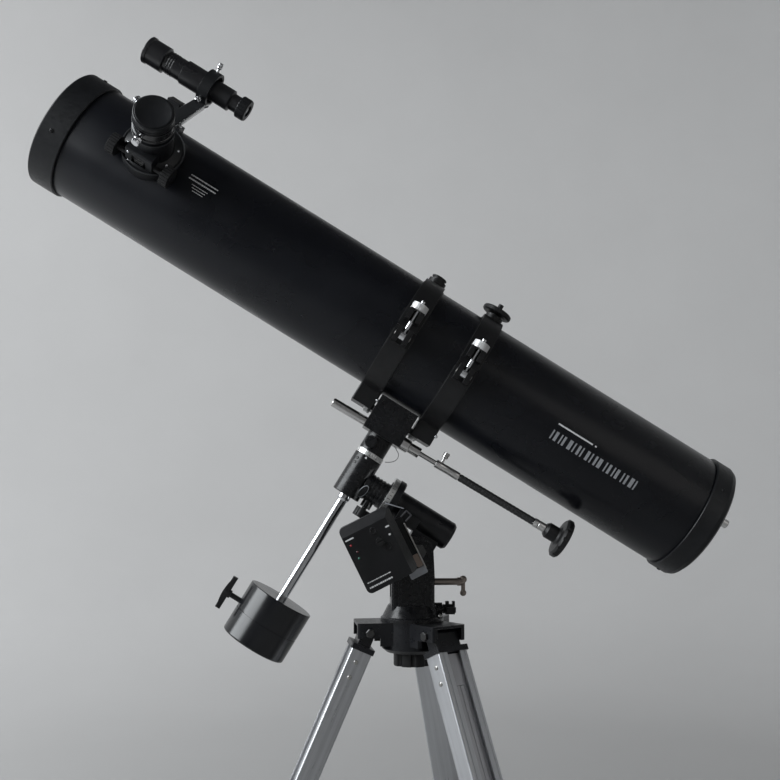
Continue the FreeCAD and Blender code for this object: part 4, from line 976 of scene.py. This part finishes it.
def drive_fittings():
    """Marks, lamps and screws on the drive case."""
    face = DRIVE @ mm(0, DRIVE_FRONT, 0) @ turn(90,
                                                "X")       # local x along the case, y across it, z outwards
    marks = [(rounded(1.6, 10.0, 0.5, 2), 0.12, face @ mm(-24.6, -23.8, 0), 0.03),
             (rounded(1.8, 4.6, 0.6, 2), 0.12, face @ mm(-19.2, 19.8, 0), 0.03),
             (rounded(2.2, 2.6, 0.8, 2), 0.12, face @ mm(-10.2, 18.4, 0), 0.03)]
    for row, x in enumerate((27.0, 32.9)):
        y, k = -27.0, row
        while y < 0.6:
            step = (2.2, 1.3, 3.1, 1.7)[k % 4]
            marks.append((rounded(1.1 + 0.7 * row, step, 0.3, 1), 0.12, face @ mm(x, y + step / 2, 0), 0.03))
            y += step + 0.5
            k += 1
    prisms("drive_face_marks", marks, "polar_head", "white_print")
    for name, look, x, y in (("red", "red_lamp", -17.9, -25.2), ("dim", "dim_red_lamp", -8.6, -21.8),
                             ("green", "green_lamp", -1.7, -23.2)):
        lathes("drive_lamp_" + name, [(dome(1.3, 1.0), face @ mm(x, y, 0))], "polar_head", look,
               24)
    collar = [(2.6, -0.2), (4.0, -0.2), (4.1, 0.4), (3.8, 0.8), (2.8, 0.8), (2.6, 0.4)]
    spots = [(collar, face @ mm(-21.7, 3.6, 0)), (collar, face @ mm(0.6, 11.4, 0))]
    lathes("drive_face_bushes", spots, "polar_head", "case_plastic", 32)
    corners = []
    for x in (-32.0, 32.0):
        for y in (-24.5, 24.5):
            corners.append(DRIVE @ mm(x, DRIVE_BACK, y) @ turn(-90, "X"))
    screws("drive_back_screws", corners, 2.2, "polar_head", "machined_steel")
    seam = rounded(78.5, 62.5, 6.2, 5)
    prisms("drive_case_seam", [(seam, 1.2, DRIVE @ mm(0, -44.0, 0) @ turn(90, "X"), 0.3)], "polar_head",
           "case_plastic")


def bracket_fittings():
    """Bent steel bracket of the drive and its spring clip."""
    back = DRIVE @ mm(0, DRIVE_BACK - 0.4, 0) @ turn(90, "X")
    prisms("drive_bracket_lip", [(rounded(9.0, 21.0, 1.6, 3), 3.2, back @ mm(45.5, 29.5, -3.0), 0.8)],
           "polar_head",
           "bracket_grey")
    prisms("drive_bracket_edge", [(rounded(56.0, 1.4, 0.5, 2), 7.0, back @ mm(16.0, 39.4, 0), 0.4)],
           "polar_head",
           "machined_steel")
    # painted reflection: a brownish brushed plate where the drive's facet shows the floor reflected in it
    prisms("drive_bracket_face", [(rounded(15.0, 7.0, 1.4, 3), 0.6, back @ mm(33.0, 35.0, 0), 0.15)],
           "polar_head",
           "floor_reflection_plate")
    clip = HEAD @ mm(71.0, -34.0, -6.0) @ turn(90, "X") @ turn(-12, "Z")
    bars = [(rounded(9.0, 1.6, 0.6, 3), 3.4, clip @ mm(0, 4.4, 0), 0.3),
            (rounded(1.6, 10.4, 0.6, 3), 3.4, clip @ mm(-3.7, 0, 0), 0.3),
            (rounded(1.6, 10.4, 0.6, 3), 3.4, clip @ mm(3.7, 0, 0), 0.3)]
    prisms("polar_housing_clip", bars, "polar_head", "clip_grey")
    strip = HEAD @ mm(54.0, -32.0, -3.2) @ turn(90, "X") @ turn(15, "Z")
    prisms("drive_bracket_strip", [(rounded(22.0, 1.2, 0.5, 2), 4.0, strip, 0.3)], "polar_head",
           "bracket_grey")


def base_fittings():
    """Latitude scale, side screw and washers of the azimuth base."""
    pivot = Vector(JOINTS["latitude_tilt"]["pos_m"]) / MM
    ticks = []
    for i in range(0, 71, 5):
        a = math.radians(200 - i * 2.0)
        length = 3.2 if i % 10 == 0 else 2.0
        r = 15.6 - length / 2
        ticks.append((rounded(length, 0.4, 0.15, 1), 0.15,
                      mm(pivot.x + r * math.cos(a), 21.0, pivot.z + r * math.sin(a))
                      @ turn(-90, "X") @ turn(-math.degrees(a), "Z"), 0.05))
    prisms("latitude_scale", ticks, "azimuth", "white_print")
    at = Matrix.Translation(Vector((0.0298, -0.0285, JOINTS["azimuth_turn"]["pos_m"][2] + 0.008)))
    screws("azimuth_side_screw", [at @ turn(48, "Z") @ turn(90, "X") @ turn(-20, "X")], 2.4, "azimuth",
           "machined_steel")
    washer = [(10.0, 0), (11.5, 0), (11.8, 0.4), (11.5, 0.9), (10.0, 0.9)]
    places = [mm(pivot.x, -21.0, pivot.z) @ turn(90, "X"), mm(pivot.x, 21.0, pivot.z) @ turn(-90, "X")]
    lathes("latitude_bolt_washers", [(washer, place) for place in places], "azimuth", "glossy_casting",
           40)


# ---- tripod ---------------------------------------------------------------------------------------
def leg_hardware():
    """Bolts, rivets and screws of each leg, and the strip that closes its channel at the top."""
    for k, leg in LEGS.items():
        heads, rivets, clips = [], [], []
        for side in (-1, 1):
            out = leg @ mm(0, side * 24.0, 0) @ turn(-90 * side, "X")
            heads.append((polygon(5.2, 6, 10), 3.0, out, 0.6))
            for z in (-36.0, -54.0):
                rivets.append((dome(2.6, 1.5), leg @ mm(1.5, side * 21.0, z) @ turn(-90 * side, "X")))
            clips.append(leg @ mm(-8.0, side * 23.0, BRACE_AT) @ turn(-90 * side, "X"))
        prisms(f"leg_{k}_hinge_bolt", heads, f"leg_{k}", "dark_steel")
        lathes(f"leg_{k}_rivets", rivets, f"leg_{k}", "machined_steel", 24)
        screws(f"leg_{k}_bracket_screws", clips, 2.1, f"leg_{k}", "chrome")
        ends = []
        for side in (-1, 1):
            ends.append((dome(3.6, 1.2), leg @ mm(-20.0, side * 7.5, BRACE_AT) @ turn(-90 * side, "X")))
        lathes(f"leg_{k}_brace_rivets", ends, f"leg_{k}", "nut_silver", 20)
        cover = leg @ mm(6.85, 0, -41.8) @ turn(90, "Y")
        prisms(f"leg_{k}_channel_cover", [(rounded(35.4, 21.0, 0.6, 2), 0.7, cover, 0.15)], f"leg_{k}",
               f"leg_{k}_inner")
        cap = [(0, 0), (5.4, 0), (5.6, 0.3), (5.0, 0.9), (0, 1.1)]
        lathes(f"leg_{k}_knob_cap", [(cap, leg @ mm(40.0, 0, -658.0) @ turn(90, "Y"))], f"leg_{k}_lock",
               "cap_plastic", 28)


def tray_fittings():
    """Centre bolt and raised rims of the accessory tray."""
    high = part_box("spreader_tray")[1]
    bolt = [(0, 0), (6.5, 0), (6.5, 1.0), (5.8, 1.8), (3.0, 2.2), (0, 2.3)]
    lathes("tray_centre_bolt", [(bolt, Matrix.Translation(Vector((0, 0, high.z))))], "spreader",
           "machined_steel",
           32)
    rims = []
    for k in (1, 2, 3):
        direction = Vector(JOINTS[f"leg_{k}_fold"]["pos_m"][:2] + [0]).normalized() * -1
        rim = [(16.4, 0), (18.4, 0), (18.4, 0.9), (17.9, 1.3), (16.8, 1.3), (16.4, 0.9)]
        rims.append((rim, Matrix.Translation(direction * 0.048 + Vector((0, 0, high.z)))))
    lathes("tray_hole_rims", rims, "spreader", "cap_plastic", 48)


def studio():
    """Floor that sweeps up into a round wall far behind and around the object."""
    mesh = bmesh.new()
    flat, bend, wall = 2600.0, 1900.0, 5200.0
    profile = [(0.0, 0.0), (1200.0, 0.0)]
    for i in range(13):
        a = math.pi / 2 * i / 12
        profile.append((flat + bend * math.sin(a), bend * (1 - math.cos(a))))
    profile.append((flat + bend, wall))
    segments = 128
    rings = [[mesh.verts.new(Vector((r * math.cos(2 * math.pi * i / segments),
                                     r * math.sin(2 * math.pi * i / segments),
                                     z)) * MM) for i in range(segments if r else 1)] for r, z in profile]
    for low, high in zip(rings, rings[1:]):
        for i in range(segments):
            j = (i + 1) % segments
            corners = list(dict.fromkeys((low[i % len(low)], low[j % len(low)], high[j], high[i])))
            mesh.faces.new(corners)
    bmesh.ops.recalc_face_normals(mesh, faces=mesh.faces)
    data = bpy.data.meshes.new("studio_sweep")
    mesh.to_mesh(data)
    mesh.free()
    data.shade_smooth()
    data.materials.append(LOOKS["studio_wall"])
    sweep_object = bpy.data.objects.new("studio_sweep", data)
    bpy.context.scene.collection.objects.link(sweep_object)


def main():
    make_camera()
    make_lights()
    make_looks()
    dress_nodes()
    studio()
    tube_marks()
    tube_skin()
    tube_fittings()
    focuser_fittings()
    finder_fittings()
    ring_fittings()
    nut_fittings()
    circle_fittings()
    dec_fittings()
    cable_fittings()
    drive_fittings()
    bracket_fittings()
    base_fittings()
    leg_hardware()
    tray_fittings()


main()
